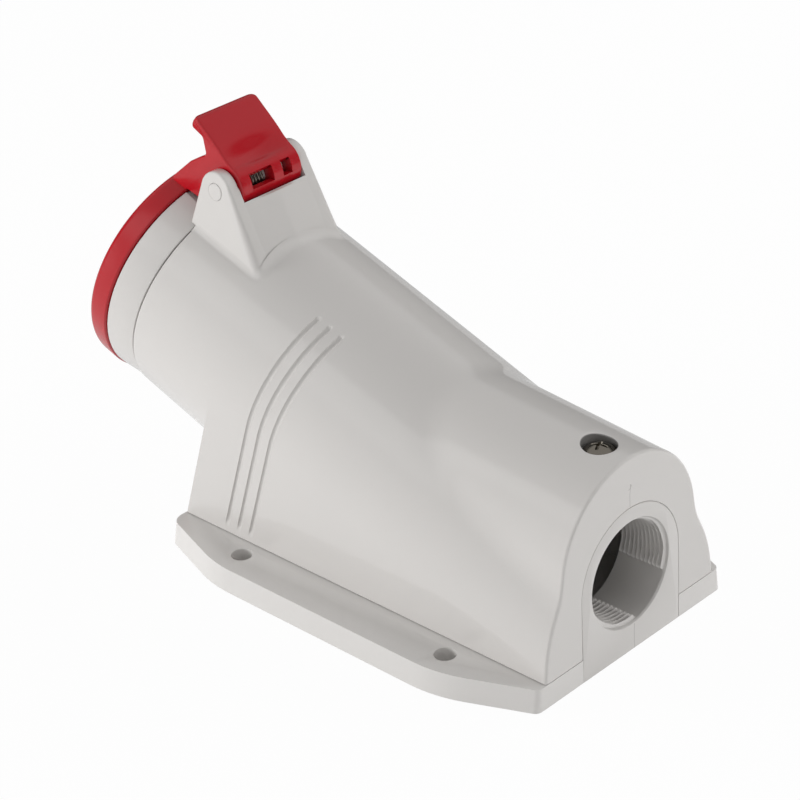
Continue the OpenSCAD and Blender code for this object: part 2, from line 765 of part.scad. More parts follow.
// Hollows in the knuckle, open to the back by a wide and a narrow window; the spring lies in the wide one
module lid_windows() {
    edge_y = arm_w / 2 - cheek_t;
    for (ends = [[-edge_y, rib_side - mid_rib_t / 2], [rib_side + mid_rib_t / 2, edge_y]])
        across(ends[1] - ends[0], (ends[0] + ends[1]) / 2) {
            translate([pin_s, pin_h]) circle(pin_r + spring_play + wire_d + spring_play);
            polygon([[pin_s, pin_h], from_pin(2 * knuckle_r, window_top),
                from_pin(2 * knuckle_r, (window_top + window_low) / 2),
                from_pin(2 * knuckle_r, window_low)]);
        }
}

// One red moulding: domed face with a rim, arm, knuckle and finger tab
module lid() {
    rim_arc = [for (a = [0:arc_step:90]) [lid_r - lid_edge_r + lid_edge_r * cos(a),
        lid_front - lid_edge_r + lid_edge_r * sin(a)]];
    color(lid_red) on_axis() difference() {
        union() {
            rotate_extrude() polygon(concat([[0, lid_back], [lid_r, lid_back]], rim_arc,
                [[0, lid_front + lid_dome]]));
            across(arm_w) lid_arm_outline();
        }
        rotate_extrude() polygon([[0, lid_back - over], [gasket_seat_r, lid_back - over],
            [gasket_seat_r, lid_back + gasket_t], [collar_ir - gasket_w / 2, lid_back + gasket_t],
            [collar_ir - gasket_w / 2, lid_front - lid_wall], [0, lid_front - lid_wall + lid_dome / 2]]);
        across(past) translate([pin_s, pin_h]) circle(pin_r + pin_fit);
        lid_windows();
    }
}

// Sealing ring inside the lid rim
module lid_gasket() {
    color(rubber) on_axis(lid_back) ring(gasket_or, collar_ir + fit, gasket_t);
}

// Tube of radius r through the points of path, with n sides; no stretch of it runs along Y
module wire(path, r, n) {
    m = len(path);
    rings = [for (i = [0:m - 1])
        let (t = unit(path[min(i + 1, m - 1)] - path[max(i - 1, 0)]))
        let (u = unit(cross(t, [0, 1, 0])), v = cross(u, t))
        for (k = [0:n - 1]) path[i] + r * (cos(360 * k / n) * u + sin(360 * k / n) * v)];
    sides = [for (i = [0:m - 2], k = [0:n - 1]) let (q = (k + 1) % n)
        [i * n + k, i * n + q, (i + 1) * n + q, (i + 1) * n + k]];
    ends = [[for (k = [0:n - 1]) n - 1 - k], [for (k = [0:n - 1]) (m - 1) * n + k]];
    polyhedron(rings, concat(sides, ends));
}

// Torsion spring on the pin: close turns, one leg in to the pin and one under the tab
module lid_spring() {
    coil_r = pin_r + spring_play + wire_d / 2;
    pitch = wire_d + coil_gap;
    steps = coil_sides * (spring_turns + 1 / 2);
    y_start = cheek_t + wire_d - arm_w / 2;
    pin_leg = coil_r - pin_r - fit;
    lid_leg = spring_play * 2;
    coil = [for (i = [0:steps]) let (a = -90 + 360 * i / coil_sides)
        [coil_r * sin(a), y_start + pitch * i / coil_sides, coil_r * cos(a)]];
    color(steel) on_axis() translate([pin_h, 0, pin_s])
        wire(concat([coil[0] + [pin_leg, 0, 0]], coil, [coil[steps] - [0, 0, lid_leg]]),
            wire_d / 2, wire_sides);
}

base_plate();
entry_insert();
housing();
housing_seal();
housing_screw();
screw_washer();
screw_nut();
collar();
collar_seal();
contact_carrier();
clamp_plate();
clamp_screw();
contact(0);  // contact_l1
contact(1);  // contact_l2
contact(2);  // contact_l3
contact(3);  // contact_n
contact(4);  // contact_earth
terminal_screw(0);  // terminal_screw_l1
terminal_screw(1);  // terminal_screw_l2
terminal_screw(2);  // terminal_screw_l3
terminal_screw(3);  // terminal_screw_n
terminal_screw(4);  // terminal_screw_earth
carrier_screw(-1);  // carrier_screw_left
carrier_screw(1);  // carrier_screw_right
hinge_pin();
lid();
lid_gasket();
lid_spring();
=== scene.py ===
"""Angled surface mount socket: its look, stage and camera, in the frame of its solids."""
import json
import math
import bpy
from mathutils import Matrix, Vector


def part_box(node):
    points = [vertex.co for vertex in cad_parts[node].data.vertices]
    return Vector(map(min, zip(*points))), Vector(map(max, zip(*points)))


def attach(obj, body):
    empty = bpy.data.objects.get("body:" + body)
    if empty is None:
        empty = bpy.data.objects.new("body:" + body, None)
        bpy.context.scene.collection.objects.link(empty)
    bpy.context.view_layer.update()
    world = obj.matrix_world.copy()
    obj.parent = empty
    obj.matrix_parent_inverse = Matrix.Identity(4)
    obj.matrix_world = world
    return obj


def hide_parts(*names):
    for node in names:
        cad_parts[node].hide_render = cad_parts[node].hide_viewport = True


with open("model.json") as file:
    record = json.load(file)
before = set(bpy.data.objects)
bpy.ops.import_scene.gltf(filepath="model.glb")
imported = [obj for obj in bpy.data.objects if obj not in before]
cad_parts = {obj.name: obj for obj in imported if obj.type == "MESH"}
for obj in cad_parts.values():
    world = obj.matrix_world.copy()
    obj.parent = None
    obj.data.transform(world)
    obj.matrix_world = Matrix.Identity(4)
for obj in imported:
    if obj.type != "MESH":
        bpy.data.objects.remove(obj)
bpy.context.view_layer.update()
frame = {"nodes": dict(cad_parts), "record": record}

from types import SimpleNamespace

import bmesh
import bpy
import numpy as np
from bpy.props import FloatProperty, FloatVectorProperty, PointerProperty
from bpy.types import Operator, Panel, PropertyGroup
from mathutils import Matrix

bl_info = {
    "name": "Angled Surface Mount Socket",
    "version": (1, 0, 0),
    "blender": (4, 5, 0),
    "location": "View3D > Sidebar > Socket",
    "description": "Dresses the solids of a wall socket with skins, finishes and a stage",
    "category": "Object",
}

MM = 0.001
ROOT = "socket_body"
LID = "lid_body"
TINY = 1e-6
SIDEWAYS = np.array([0.0, 1.0, 0.0])


# Properties

WORDS = {"r": "radius", "x": "place", "s": "place", "y": "side", "z": "height", "h": "height",
         "t": "thickness", "w": "half width", "len": "length"}


def labelled(group):
    """Labels the properties of a group with the words of their names, the short ones in full."""
    for key, prop in group.__annotations__.items():
        first, *rest = key.split("_")
        prop.keywords["name"] = " ".join([first] + [WORDS.get(w, w) for w in rest]).capitalize()
    return group


def length(value, text):
    """Length property whose default is given in millimetres."""
    return FloatProperty(description=text, default=value * MM, unit="LENGTH", precision=5)


def angle(value, text):
    """Angle property whose default is given in degrees."""
    return FloatProperty(description=text, default=math.radians(value), subtype="ANGLE")


def share(value, text):
    """Plain number between 0 and 1."""
    return FloatProperty(description=text, default=value, min=0.0, max=1.0, subtype="FACTOR")


def number(value, text, unit="NONE"):
    """Plain number, or a number in a unit."""
    return FloatProperty(description=text, default=value, unit=unit)


def colour(value, text):
    """Linear colour property."""
    return FloatVectorProperty(description=text, default=value, size=3, min=0.0, max=1.0,
                               subtype="COLOR")


@labelled
class SocketHousingSizes(PropertyGroup):
    """Sizes of the moulded housing."""
    tilt: angle(20, "Angle of the socket axis above the wall")
    seam_x: length(-88.5, "Place of the front seam along the base")
    seam_z: length(66, "Height of the socket axis at the front seam")
    barrel_r: length(36.9, "Outer radius of the barrel and half width of the housing")
    bore_r: length(33.9, "Radius of the bore behind the collar")
    front_s: length(34.568, "Distance of the front wall behind the seam")
    partition: length(3.5, "Thickness of the partition behind the barrel")
    carrier_hole: length(27.6, "Radius of the hole in the partition")
    wall: length(3, "Wall thickness")
    foot_z: length(7.75, "Height of the lower edge above the back")
    end_x: length(73.5, "Place of the end face along the base")
    end_round: length(0.9, "Radius of the edge of the end face")
    hood_r: length(29, "Radius of the hood roof")
    hood_z: length(33.366, "Height of the hood axis at the end face")
    hood_slope: angle(5.5, "Slope of the hood roof")
    hood_blend: length(0.8, "Width of the soft hollow where the hood leaves the barrel")
    end_blend: length(4, "Width of that hollow at the end face")
    split: length(6, "Height above the axis where the roof patch meets the skirt patches")
    groove_s: length(51.2, "Distance from the seam to the first groove")
    groove_pitch: length(4.8, "Spacing of the grooves")
    groove_r: length(1, "Radius of a groove")
    groove_depth: length(0.6, "Depth of a groove")
    groove_angle: angle(26, "Angle from the top at which the grooves begin on the near side")
    far_angle: angle(43, "Angle from the top at which the grooves begin on the far side")
    groove_end_z: length(11.5, "Height at which the grooves end")
    dimple_y: length(-0.25, "Place of the gate dimple across the end wall")
    dimple_z: length(53.4, "Height of the gate dimple in the end wall")
    panel_r: length(21.2, "Radius of the arched opening in the end wall")
    entry_z: length(25.4, "Height of the cable entry axis")
    screw_x: length(62.9, "Place of the housing screw along the base")
    screw_well_r: length(5.1, "Radius of the well around the screw head")
    screw_seat_z: length(58.72, "Height of the floor of the screw well")


@labelled
class SocketHingeSizes(PropertyGroup):
    """Sizes of the hinge block."""
    pin_s: length(-3.9, "Place of the pin along the socket axis, from the seam")
    pin_h: length(47.7, "Height of the pin above the socket axis")
    ear_r: length(6.1, "Radius of an ear around the pin")
    ear_y: length(16.5, "Half width of the block at the pin")
    ear_draft: angle(5, "Draft of the outer faces of the ears")
    slot_y: length(12.5, "Half width of the slot between the ears")
    slot_r: length(8.55, "Radius of the slot floor around the pin")
    back_slope: angle(44, "Angle of the back to the barrel")
    crease: length(1.3, "Height of the crease along the middle of the back")
    lip_gap: length(0.1, "Height of the underside of the ears above the barrel surface")
    edge_r: length(0.6, "Radius of the outer edges of the ears")
    back_edge_r: length(2.2, "Radius of the edges of the back at the foot")
    foot_fillet: length(2.4, "Size of the soft hollow between the back and the barrel")
    side_fillet: length(1.8, "Size of the soft hollow between the sides and the barrel")
    pin_r: length(3.1, "Radius of the hinge pin")
    pin_end_r: length(2.65, "Radius of the pin end that shows in an ear")
    pin_proud: length(0.12, "Height of the pin end above the face of an ear")
    coil_r: length(4.25, "Radius of the spring turns at the middle of the wire")
    coil_y: length(-7.25, "Sideways place of the outer end of the spring")
    coil_pitch: length(1.25, "Spacing of the spring turns")
    wire_r: length(0.45, "Radius of the spring wire")
    leg_pin: length(1.05, "Length of the spring leg towards the pin")
    leg_lid: length(1.4, "Length of the spring leg under the tab")
    turns: number(5.5, "Turns of the spring")


@labelled
class SocketLidSizes(PropertyGroup):
    """Sizes of the lid."""
    rim_r: length(38.2, "Outer radius of the lid")
    back: length(11.5, "Place of the back of the rim along the socket axis")
    front: length(19.7, "Place of the front edge along the socket axis")
    edge_r: length(2.6, "Radius of the front edge")
    dome: length(0.99, "Rise of the face to its middle")
    face_t: length(2.5, "Thickness of the face")
    arm_y: length(12.15, "Half width of the arm, knuckle and tab")
    knuckle_r: length(7.4, "Radius of the knuckle around the pin")
    hollow_r: length(5.4, "Radius of the hollow around the spring")
    cheek_t: length(4, "Thickness of the side walls of the knuckle")
    rib_low: length(0.8, "Sideways place of the near side of the rib between the windows")
    rib_high: length(4.5, "Sideways place of the far side of the rib between the windows")
    tab_angle: angle(21.6, "Angle of the tab face to the socket axis")
    tab_reach: length(20, "Length of the tab face")
    nose_r: length(1.9, "Radius of the rolled nose of the tab")
    tab_corner: length(2.4, "Radius of the tab corners seen on the face")
    tab_dish: length(1.7, "Depth of the thumb hollow in the tab face")
    dish_place: length(4.6, "Distance of the thumb hollow from the knuckle end of the tab face")
    dish_len: length(3.2, "Spread of the thumb hollow along the tab")
    dish_width: length(7, "Spread of the thumb hollow across the tab")
    soft_edge: length(0.6, "Radius of the side edges of the arm and tab")
    seat_r: length(35.9, "Outer radius of the gasket seat")
    seat_s: length(14.1, "Place of the gasket seat along the socket axis")
    inner_r: length(30.7, "Radius of the hollow behind the face")
    window_top: number(128, "Angle of the upper window edge, in degrees")
    window_low: number(162, "Angle of the lower window edge, in degrees")


@labelled
class SocketFrontSizes(PropertyGroup):
    """Sizes of the collar, the cable entry, the housing screw and the base edge."""
    tube_back: length(-30.568, "Place of the back of the collar tube along the socket axis")
    tube_r: length(33.8, "Outer radius of the collar tube")
    bore_r: length(32.4, "Radius of the collar bore")
    gap: length(0.6, "Width of the seam behind the collar")
    rim_back_r: length(36.4, "Radius of the flared rim at the seam")
    rim_front_r: length(37.8, "Radius of the flared rim in front")
    rim_s: length(11.2, "Place of the front of the rim along the socket axis")
    notch_y: length(12.5, "Half width of the notch for the lid arm")
    notch_h: length(35, "Height of the notch floor above the socket axis")
    key_y: length(4.5, "Half width of the keyway")
    key_h: length(33.6, "Depth of the keyway floor below the socket axis")
    bore_solid: length(16, "Radius of the bore of the cable entry in the solid")
    thread_r: length(16.7, "Radius of the cable entry between the threads")
    thread_pitch: length(1.5, "Spacing of the threads")
    mouth_r: length(16.86, "Radius of the chamfered mouth of the cable entry")
    thread_depth: length(1.15, "Depth of the threads")
    thread_from: length(72.9, "Outer end of the thread along the base")
    thread_to: length(56.5, "Inner end of the thread along the base")
    head_r: length(4.8, "Radius of the screw head")
    head_ball: length(6.4, "Radius of the dome of the screw head")
    head_rise: length(0.9, "Height of the dome above the flat of the solid")
    cross_r: length(2.5, "Reach of the cross recess from the middle")
    cross_w: length(0.62, "Half width of an arm of the cross recess")
    cross_depth: length(1.1, "Depth of the cross recess")
    cross_turn: angle(20, "Turn of the cross recess")
    shank_r: length(1.95, "Radius of the screw shank")
    base_edge: length(1.3, "Radius of the upper edge of the base plate")


@labelled
class SocketFinish(PropertyGroup):
    """Colours and finishes of the pieces."""
    shell: colour((0.62, 0.60, 0.58), "Light grey of the moulded housing")
    # painted light: the base plate's grey is lighter than the shell's to make up for the weak light
    # on its lug tops
    base: colour((0.67, 0.652, 0.632), "Grey of the base plate")
    insert: colour((0.60, 0.58, 0.56), "Grey of the entry insert")
    carrier: colour((0.42, 0.42, 0.41), "Grey of the contact carrier")
    lid: colour((0.43, 0.004, 0.011), "Red of the lid")
    rubber: colour((0.02, 0.02, 0.02), "Black of the seals")
    steel: colour((0.22, 0.2, 0.17), "Tint of screws")
    brass: colour((0.72, 0.50, 0.20), "Tint of contacts")
    grain: share(0.15, "Strength of the moulded grain")


@labelled
class SocketStageSettings(PropertyGroup):
    """Camera and light."""
    azimuth: angle(45.5, "Direction of the camera round the object")
    elevation: angle(28.61, "Height of the camera above the horizon")
    roll: angle(-3.71, "Turn of the camera about its own axis")
    distance: length(737, "Distance of the camera from its target")
    focal: number(112.2, "Focal length in millimetres on a 36 mm sensor")
    key_power: number(7.9, "Power of the key light", "POWER")
    fill_power: number(4.2, "Power of the fill light", "POWER")
    back_power: number(2.3, "Power of the light on the far side", "POWER")
    ambient: share(0.64, "Strength of the even light from all round")
    white: share(0.96, "Share of white in the floor that the camera and reflections see")
    low_sky: share(0.05, "Brightness that reflections show above the floor")
    high_sky: share(0.65, "Brightness that reflections show overhead")
    card: share(0.85, "Brightness that reflections show on the key side")
    far_floor: share(0.48, "White that reflections show on the floor behind the object")


GROUPS = {
    "socket_housing": SocketHousingSizes,
    "socket_hinge": SocketHingeSizes,
    "socket_lid": SocketLidSizes,
    "socket_front": SocketFrontSizes,
    "socket_finish": SocketFinish,
    "socket_stage": SocketStageSettings,
}


def in_mm(group):
    """Values of a property group, with its lengths in millimetres."""
    skip = {"rna_type", "name"}
    return SimpleNamespace(**{
        key: getattr(group, key) / MM if prop.unit == "LENGTH" else getattr(group, key)
        for key, prop in group.bl_rna.properties.items() if key not in skip})


# Surfaces

class Shell:
    """Patches of one closed surface in millimetres, joined where their edges meet."""

    def __init__(self):
        self.points, self.quads, self.plates, self.count = [], [], [], 0

    def _add(self, points):
        flat = np.asarray(points, float).reshape(-1, 3)
        start = self.count
        self.points.append(flat)
        self.count += len(flat)
        return start

    def grid(self, points, wrap=False, hole=None):
        """Quads between the rows and columns of points; wrap joins the last column to the first.

        hole gives the first and last row and column (r, r, c, c) whose quads are left out."""
        rows, cols = points.shape[:2]
        start = self._add(points)
        across = np.arange(cols if wrap else cols - 1)
        i, j = np.meshgrid(np.arange(rows - 1), across, indexing="ij")
        if hole is not None:
            keep = ~((i >= hole[0]) & (i < hole[1]) & (j >= hole[2]) & (j < hole[3]))
            i, j = i[keep], j[keep]
        k = (j + 1) % cols
        quads = np.stack([i * cols + j, i * cols + k, (i + 1) * cols + k, (i + 1) * cols + j], -1)
        self.quads.append(quads.reshape(-1, 4) + start)

    def plate(self, ring):
        """One flat face inside a ring of points."""
        start = self._add(ring)
        self.plates.append(list(range(start, start + len(ring))))

    def mesh(self, name, weld=0.003, sharp=32):
        """Mesh in metres: patches welded, normals outwards, creases over the angle kept sharp."""
        quads = np.concatenate(self.quads) if self.quads else np.zeros((0, 4), int)
        mesh = bpy.data.meshes.new(name)
        mesh.from_pydata(np.concatenate(self.points) * MM, [], quads.tolist() + self.plates)
        bm = bmesh.new()
        bm.from_mesh(mesh)
        bmesh.ops.remove_doubles(bm, verts=bm.verts, dist=weld * MM)
        bmesh.ops.dissolve_degenerate(bm, edges=bm.edges, dist=weld * MM)
        bmesh.ops.recalc_face_normals(bm, faces=bm.faces)
        bm.to_mesh(mesh)
        bm.free()
        mesh.shade_smooth()
        mesh.set_sharp_from_angle(angle=math.radians(sharp))
        return mesh


def joined(points, name, sharp):
    """Mesh of one grid of points whose last column joins the first."""
    shell = Shell()
    shell.grid(points, wrap=True)
    return shell.mesh(name, sharp=sharp)


def place(mesh, name, body, material, nodes):
    """Object of a mesh, in a material, that rides on a body and stands for CAD nodes."""
    obj = bpy.data.objects.new(name, mesh)
    bpy.context.scene.collection.objects.link(obj)
    mesh.materials.clear()
    mesh.materials.append(bpy.data.materials[material])
    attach(obj, body)
    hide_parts(*nodes)
    return obj


def tilted(h, s, r, y):
    """Points at distance s along the socket axis, height r above it and sideways y."""
    s, r, y = np.broadcast_arrays(s, r, y)
    c, k = math.cos(h.tilt), math.sin(h.tilt)
    return np.stack([h.seam_x - s * c + r * k, y, h.seam_z + s * k + r * c], -1)


def turned(h, s, r, t):
    """Points at distance s along the socket axis, at radius r and at angles t from the top."""
    return tilted(h, s, r * np.cos(t), r * np.sin(t))


def along_axis(h, p):
    """Distance along the socket axis and height above it of points p."""
    c, k = math.cos(h.tilt), math.sin(h.tilt)
    x, z = p[..., 0] - h.seam_x, p[..., 2] - h.seam_z
    return -x * c + z * k, x * k + z * c


def soft_max(a, b, width):
    """The larger of a and b, raised by a parabola of the given width where they are close."""
    near = np.clip(width - np.abs(a - b), 0, None) / width
    return np.maximum(a, b) + near ** 2 * width / 4


def unit(v):
    """Vectors v at length one."""
    return v / np.linalg.norm(v, axis=-1, keepdims=True)


def run_along(points):
    """Distance along a polyline from its first point to each of its points."""
    return np.concatenate([[0], np.cumsum(np.linalg.norm(np.diff(points, axis=0), axis=1))])


def points_at(points, run, at):
    """Points of a polyline at the distances at, where run gives those of its own points."""
    return np.stack([np.interp(at, run, points[:, k]) for k in range(points.shape[1])], -1)


def rim_of(block):
    """Points round the edge of a block of grid points, in order."""
    return np.concatenate([block[0, :-1], block[:-1, -1], block[-1, :0:-1], block[:0:-1, 0]])


def rounded(points, radii, count=8):
    """Open outline whose inner corners become arcs of the given radii, tangent to both sides."""
    p = np.asarray(points, float)
    out = [p[:1]]
    for a, b, c, r in zip(p[:-2], p[1:-1], p[2:], radii):
        u, w = unit(a - b), unit(c - b)
        half = math.acos(np.clip(u @ w, -1, 1)) / 2
        if r <= 0:
            out.append(b[None])
            continue
        mid = b + unit(u + w) * r / math.sin(half)
        first, last = b + u * r / math.tan(half) - mid, b + w * r / math.tan(half) - mid
        a0 = math.atan2(first[1], first[0])
        turn = (math.atan2(last[1], last[0]) - a0 + math.pi) % (2 * math.pi) - math.pi
        t = a0 + turn * np.linspace(0, 1, count + 1)
        out.append(mid + r * np.stack([np.cos(t), np.sin(t)], -1))
    return np.concatenate(out + [p[-1:]])


def arc(centre, r, start, end, count):
    """Points of a circle in the plane of a side outline, angles in degrees."""
    t = np.radians(np.linspace(start, end, count))
    return np.asarray(centre) + r * np.stack([np.cos(t), np.sin(t)], -1)


# Housing

PLANE_H = 64        # height between the two points that give a section plane
REACH_END = 400     # longest reach to a straight side
FRONT_ROUND = 0.5   # radius of the front edge of the barrel
GROOVES = 3
WELL_LIP = 0.45     # radius of the lip of the screw well
WELL_PATCH = 7.0    # half width of the piece of roof that the screw well replaces
PATCH_Y, PATCH_Z = 1.6, 1.4   # half sizes of the piece of end wall that the dimple replaces
ARCH_DROP = 0.3     # depth of the sharp edge of the arch behind the end face


def between(first, last, t):
    """Section planes that turn from the first to the last as t goes from 0 to 1.

    A plane is its x at the foot and at PLANE_H above the foot."""
    t = np.asarray(t)[:, None]
    return np.asarray(first) * (1 - t) + np.asarray(last) * t


def plane_across(h, s):
    """Section plane square to the socket axis at distance s."""
    z = np.array([h.foot_z, h.foot_z + PLANE_H])
    lean = (z - h.seam_z) * math.sin(h.tilt) - np.asarray(s)[..., None]
    return h.seam_x + lean / math.cos(h.tilt)


def plane_frame(h, planes):
    """Of each section plane: its point on the socket axis, its upward direction, and its foot."""
    k = (planes[:, 1] - planes[:, 0]) / PLANE_H
    c, t = math.cos(h.tilt), math.sin(h.tilt)
    s = (h.seam_x - planes[:, 0] - k * (h.seam_z - h.foot_z)) / (c + k * t)
    o = tilted(h, s, 0.0, 0.0)
    u = unit(np.stack([k, 0 * k, 1 + 0 * k], -1))
    return o, u, (h.foot_z - o[:, 2]) / u[:, 2]


def skin_reach(h, o, d, inset=0.0):
    """Distance from the axis point o along d to the skin.

    It is the soft maximum of the reach to the barrel, a cylinder on the socket axis, and to the
    hood, a half cylinder on its own sloping axis with straight sides below that axis."""
    ax = np.array([-math.cos(h.tilt), 0, math.sin(h.tilt)])
    across = d - (d @ ax)[..., None] * ax
    barrel = (h.barrel_r - inset) / np.linalg.norm(across, axis=-1)
    hx = np.array([-math.cos(h.hood_slope), 0, math.sin(h.hood_slope)])
    up = np.array([math.sin(h.hood_slope), 0, math.cos(h.hood_slope)])
    r = h.hood_r - inset
    w = o - np.array([h.end_x, 0, h.hood_z])
    wp, dp = w - (w @ hx)[..., None] * hx, d - (d @ hx)[..., None] * hx
    a, b, c = (dp * dp).sum(-1), (wp * dp).sum(-1), (wp * wp).sum(-1) - r * r
    root = np.sqrt(np.clip(b * b - a * c, 0, None))
    roof = np.where(b * b > a * c, (root - b) / a, 0)
    height = (w * up).sum(-1) + roof * (d @ up)
    side = r / np.clip(np.abs(d[..., 1]), TINY, None)
    hood = np.where(height >= 0, roof, np.minimum(side, REACH_END))
    hood = np.where(np.abs(hood * d[..., 1]) > r + TINY, 0, hood)
    x = o[..., 0] + np.maximum(barrel, hood) * d[..., 0]
    grow = np.clip(x / h.end_x, 0, 1) ** 2
    return soft_max(barrel, hood, h.hood_blend + (h.end_blend - h.hood_blend) * grow)


def edge_inset(distance, r):
    """How far a surface draws in at a distance from a face, for a rounded edge of radius r."""
    return r - np.sqrt(np.clip(r * r - np.clip(r - distance, 0, r) ** 2, 0, None))


def groove_inset(h, p):
    """Depth of the grooves at points p: half rounds along lines round the barrel and down it."""
    s, r = along_axis(h, p)
    side = np.abs(p[..., 1])
    turn = np.arctan2(side, np.maximum(r, 0))
    run = h.barrel_r * turn + np.maximum(-r, 0)
    first = h.barrel_r * np.where(p[..., 1] < 0, h.groove_angle, h.far_angle)
    low = (h.groove_end_z - h.seam_z - s * math.sin(h.tilt)) / math.cos(h.tilt)
    last = h.barrel_r * math.pi / 2 - low
    past = np.maximum(first - run, 0) + np.maximum(run - last, 0)
    depth = np.zeros_like(s)
    for i in range(GROOVES):
        off = s + h.groove_s + i * h.groove_pitch
        ball = np.sqrt(np.clip(h.groove_r ** 2 - off ** 2 - past ** 2, 0, None))
        depth = np.maximum(depth, ball - (h.groove_r - h.groove_depth))
    return depth


def draw_in(h, p, depth):
    """Points p moved in by depth: towards the socket axis above it, sideways below it."""
    s, r = along_axis(h, p)
    r_up = np.maximum(r, 0)
    dist = np.hypot(r_up, p[..., 1])
    move = depth / np.maximum(dist, TINY)
    return tilted(h, s, r - r_up * move, p[..., 1] * (1 - move))


def roof_patch(h, planes, half, inset=0.0):
    """Upper skin: each section from one split over the top to the other, evenly spaced."""
    o, u, _ = plane_frame(h, planes)
    fine = np.radians(np.linspace(0, 100, 900))

    def reach(t):
        d = np.cos(t)[..., None] * u[:, None] + np.sin(t)[..., None] * SIDEWAYS
        return skin_reach(h, o[:, None] + 0 * d, d, inset), d

    t = np.broadcast_to(fine, (len(o), len(fine)))
    r, _ = reach(t)
    y, q = r * np.sin(t), r * np.cos(t)
    step = np.hypot(np.diff(y), np.diff(q))
    run = np.concatenate([np.zeros((len(o), 1)), np.cumsum(step, axis=1)], 1)
    rows = []
    for k in range(len(o)):
        stop = np.interp(-h.split, -q[k], run[k])
        rows.append(np.interp(np.linspace(0, stop, half), run[k], fine))
    t = np.stack(rows)
    t = np.concatenate([-t[:, :0:-1], t], 1)
    r, d = reach(t)
    p = o[:, None] + r[..., None] * d
    if inset == 0:
        s, _ = along_axis(h, p)
        r = r - edge_inset(h.end_x - p[..., 0], h.end_round) - edge_inset(-s, FRONT_ROUND)
        p = o[:, None] + r[..., None] * d
        p = draw_in(h, p, groove_inset(h, p))
    return p


def skirt_patch(h, planes, count, inset=0.0):
    """Right skin below the split: the last of the barrel's round, then straight to the foot."""
    o, u, foot = plane_frame(h, planes)
    t = np.linspace(0, 1, count)
    q = h.split + (foot[:, None] - h.split) * t
    up = np.array([math.sin(h.tilt), 0, math.cos(h.tilt)])
    r = np.maximum(q * (u @ up)[:, None], 0)
    y = np.sqrt((h.barrel_r - inset) ** 2 - r * r)

    def points():
        return o[:, None] + q[..., None] * u[:, None] + y[..., None] * SIDEWAYS

    p = points()
    if inset == 0:
        in_end = edge_inset(h.end_x - p[..., 0], h.end_round)
        q_in = np.maximum(q, 0)
        dist = np.hypot(q_in, y)
        q, y = q - q_in / dist * in_end, y * (1 - in_end / dist)
        q[:, -1] = foot
        p = points()
        cut = groove_inset(h, p)
        p = np.where(cut[..., None] > 0, draw_in(h, p, cut), p)
    return p


def mirrored(p):
    """Points on the other side of the middle plane."""
    return p * np.array([1.0, -1.0, 1.0])


def arch_points(h, x, count_leg, count_top):
    """Arched opening in the end wall: left leg from the foot, half circle and right leg, at x."""
    leg = line(h.foot_z, h.entry_z, count_leg)
    t = np.linspace(0, math.pi, count_top)
    y = np.concatenate([-h.panel_r + 0 * leg, -h.panel_r * np.cos(t), h.panel_r + 0 * leg])
    z = np.concatenate([leg, h.entry_z + h.panel_r * np.sin(t), leg[::-1]])
    return np.stack([x + 0 * y, y, z], -1)


def hood_height(h, x, y):
    """Height of the hood roof over (x, y)."""
    rise = np.sqrt(h.hood_r ** 2 - y ** 2)
    run = (h.end_x + rise * math.sin(h.hood_slope) - x) / math.cos(h.hood_slope)
    return h.hood_z + run * math.sin(h.hood_slope) + rise * math.cos(h.hood_slope)


def screw_well(h, shell, ring):
    """Well of the housing screw: rings from the roof over a rounded lip to a flat floor."""
    off = ring - np.array([h.screw_x, 0, 0])
    t = np.arctan2(off[:, 1], off[:, 0])
    spoke = np.stack([np.cos(t), np.sin(t)], -1)
    r = h.screw_well_r

    def circle(r, drop=None, z=None):
        xy = np.array([h.screw_x, 0]) + r * spoke
        height = hood_height(h, xy[:, 0], xy[:, 1]) - drop if z is None else np.full(len(t), z)
        return np.column_stack([xy, height])

    rows = [ring] + [circle(r + WELL_LIP * (1 - math.sin(a)), WELL_LIP * (1 - math.cos(a)))
                     for a in np.radians([0, 30, 60, 90])]
    rows += [circle(r, z=h.screw_seat_z), circle(r * 0.5, z=h.screw_seat_z)]
    shell.grid(np.stack(rows), wrap=True)
    shell.plate(rows[-1])


def end_dimple(h, shell, cap, centre):
    """End face with the gate dimple: rings from a hole in its grid to a shallow flat floor."""
    first = np.where(cap[:, centre, 2] > h.dimple_z + PATCH_Z)[0][-1]
    last = np.where(cap[:, centre, 2] < h.dimple_z - PATCH_Z)[0][0]
    start = np.where(cap[last, :centre, 1] < h.dimple_y - PATCH_Y)[0][-1]
    stop = centre + np.where(cap[last, centre:, 1] > h.dimple_y + PATCH_Y)[0][0]
    shell.grid(cap, hole=(first, last, start, stop))
    ring = rim_of(cap[first:last + 1, start:stop + 1])
    turn = np.arctan2(ring[:, 2] - h.dimple_z, ring[:, 1] - h.dimple_y)
    rows = [ring] + [
        np.stack([h.end_x - deep + 0 * turn, h.dimple_y + r * np.cos(turn),
                  h.dimple_z + r * np.sin(turn)], -1)
        for r, deep in ((1.1, 0), (0.95, 0.02), (0.9, 0.14), (0.3, 0.16))]
    shell.grid(np.stack(rows), wrap=True)
    shell.plate(rows[-1])


def section_places(h, front):
    """Places of the sections along the socket axis: close at the lip and the grooves."""
    s = np.concatenate([[0, -0.12, -0.3, -0.6], np.arange(-1.8, -64, -1.7), [front]] + [
        -h.groove_s - i * h.groove_pitch + 1.05 * h.groove_r * np.linspace(-1, 1, 17)
        for i in range(GROOVES)])
    s = np.unique(np.round(s, 4))[::-1]
    s = s[np.concatenate([[True], np.diff(s) < -0.05])]
    s[np.argmin(np.abs(s - front))] = front
    return s


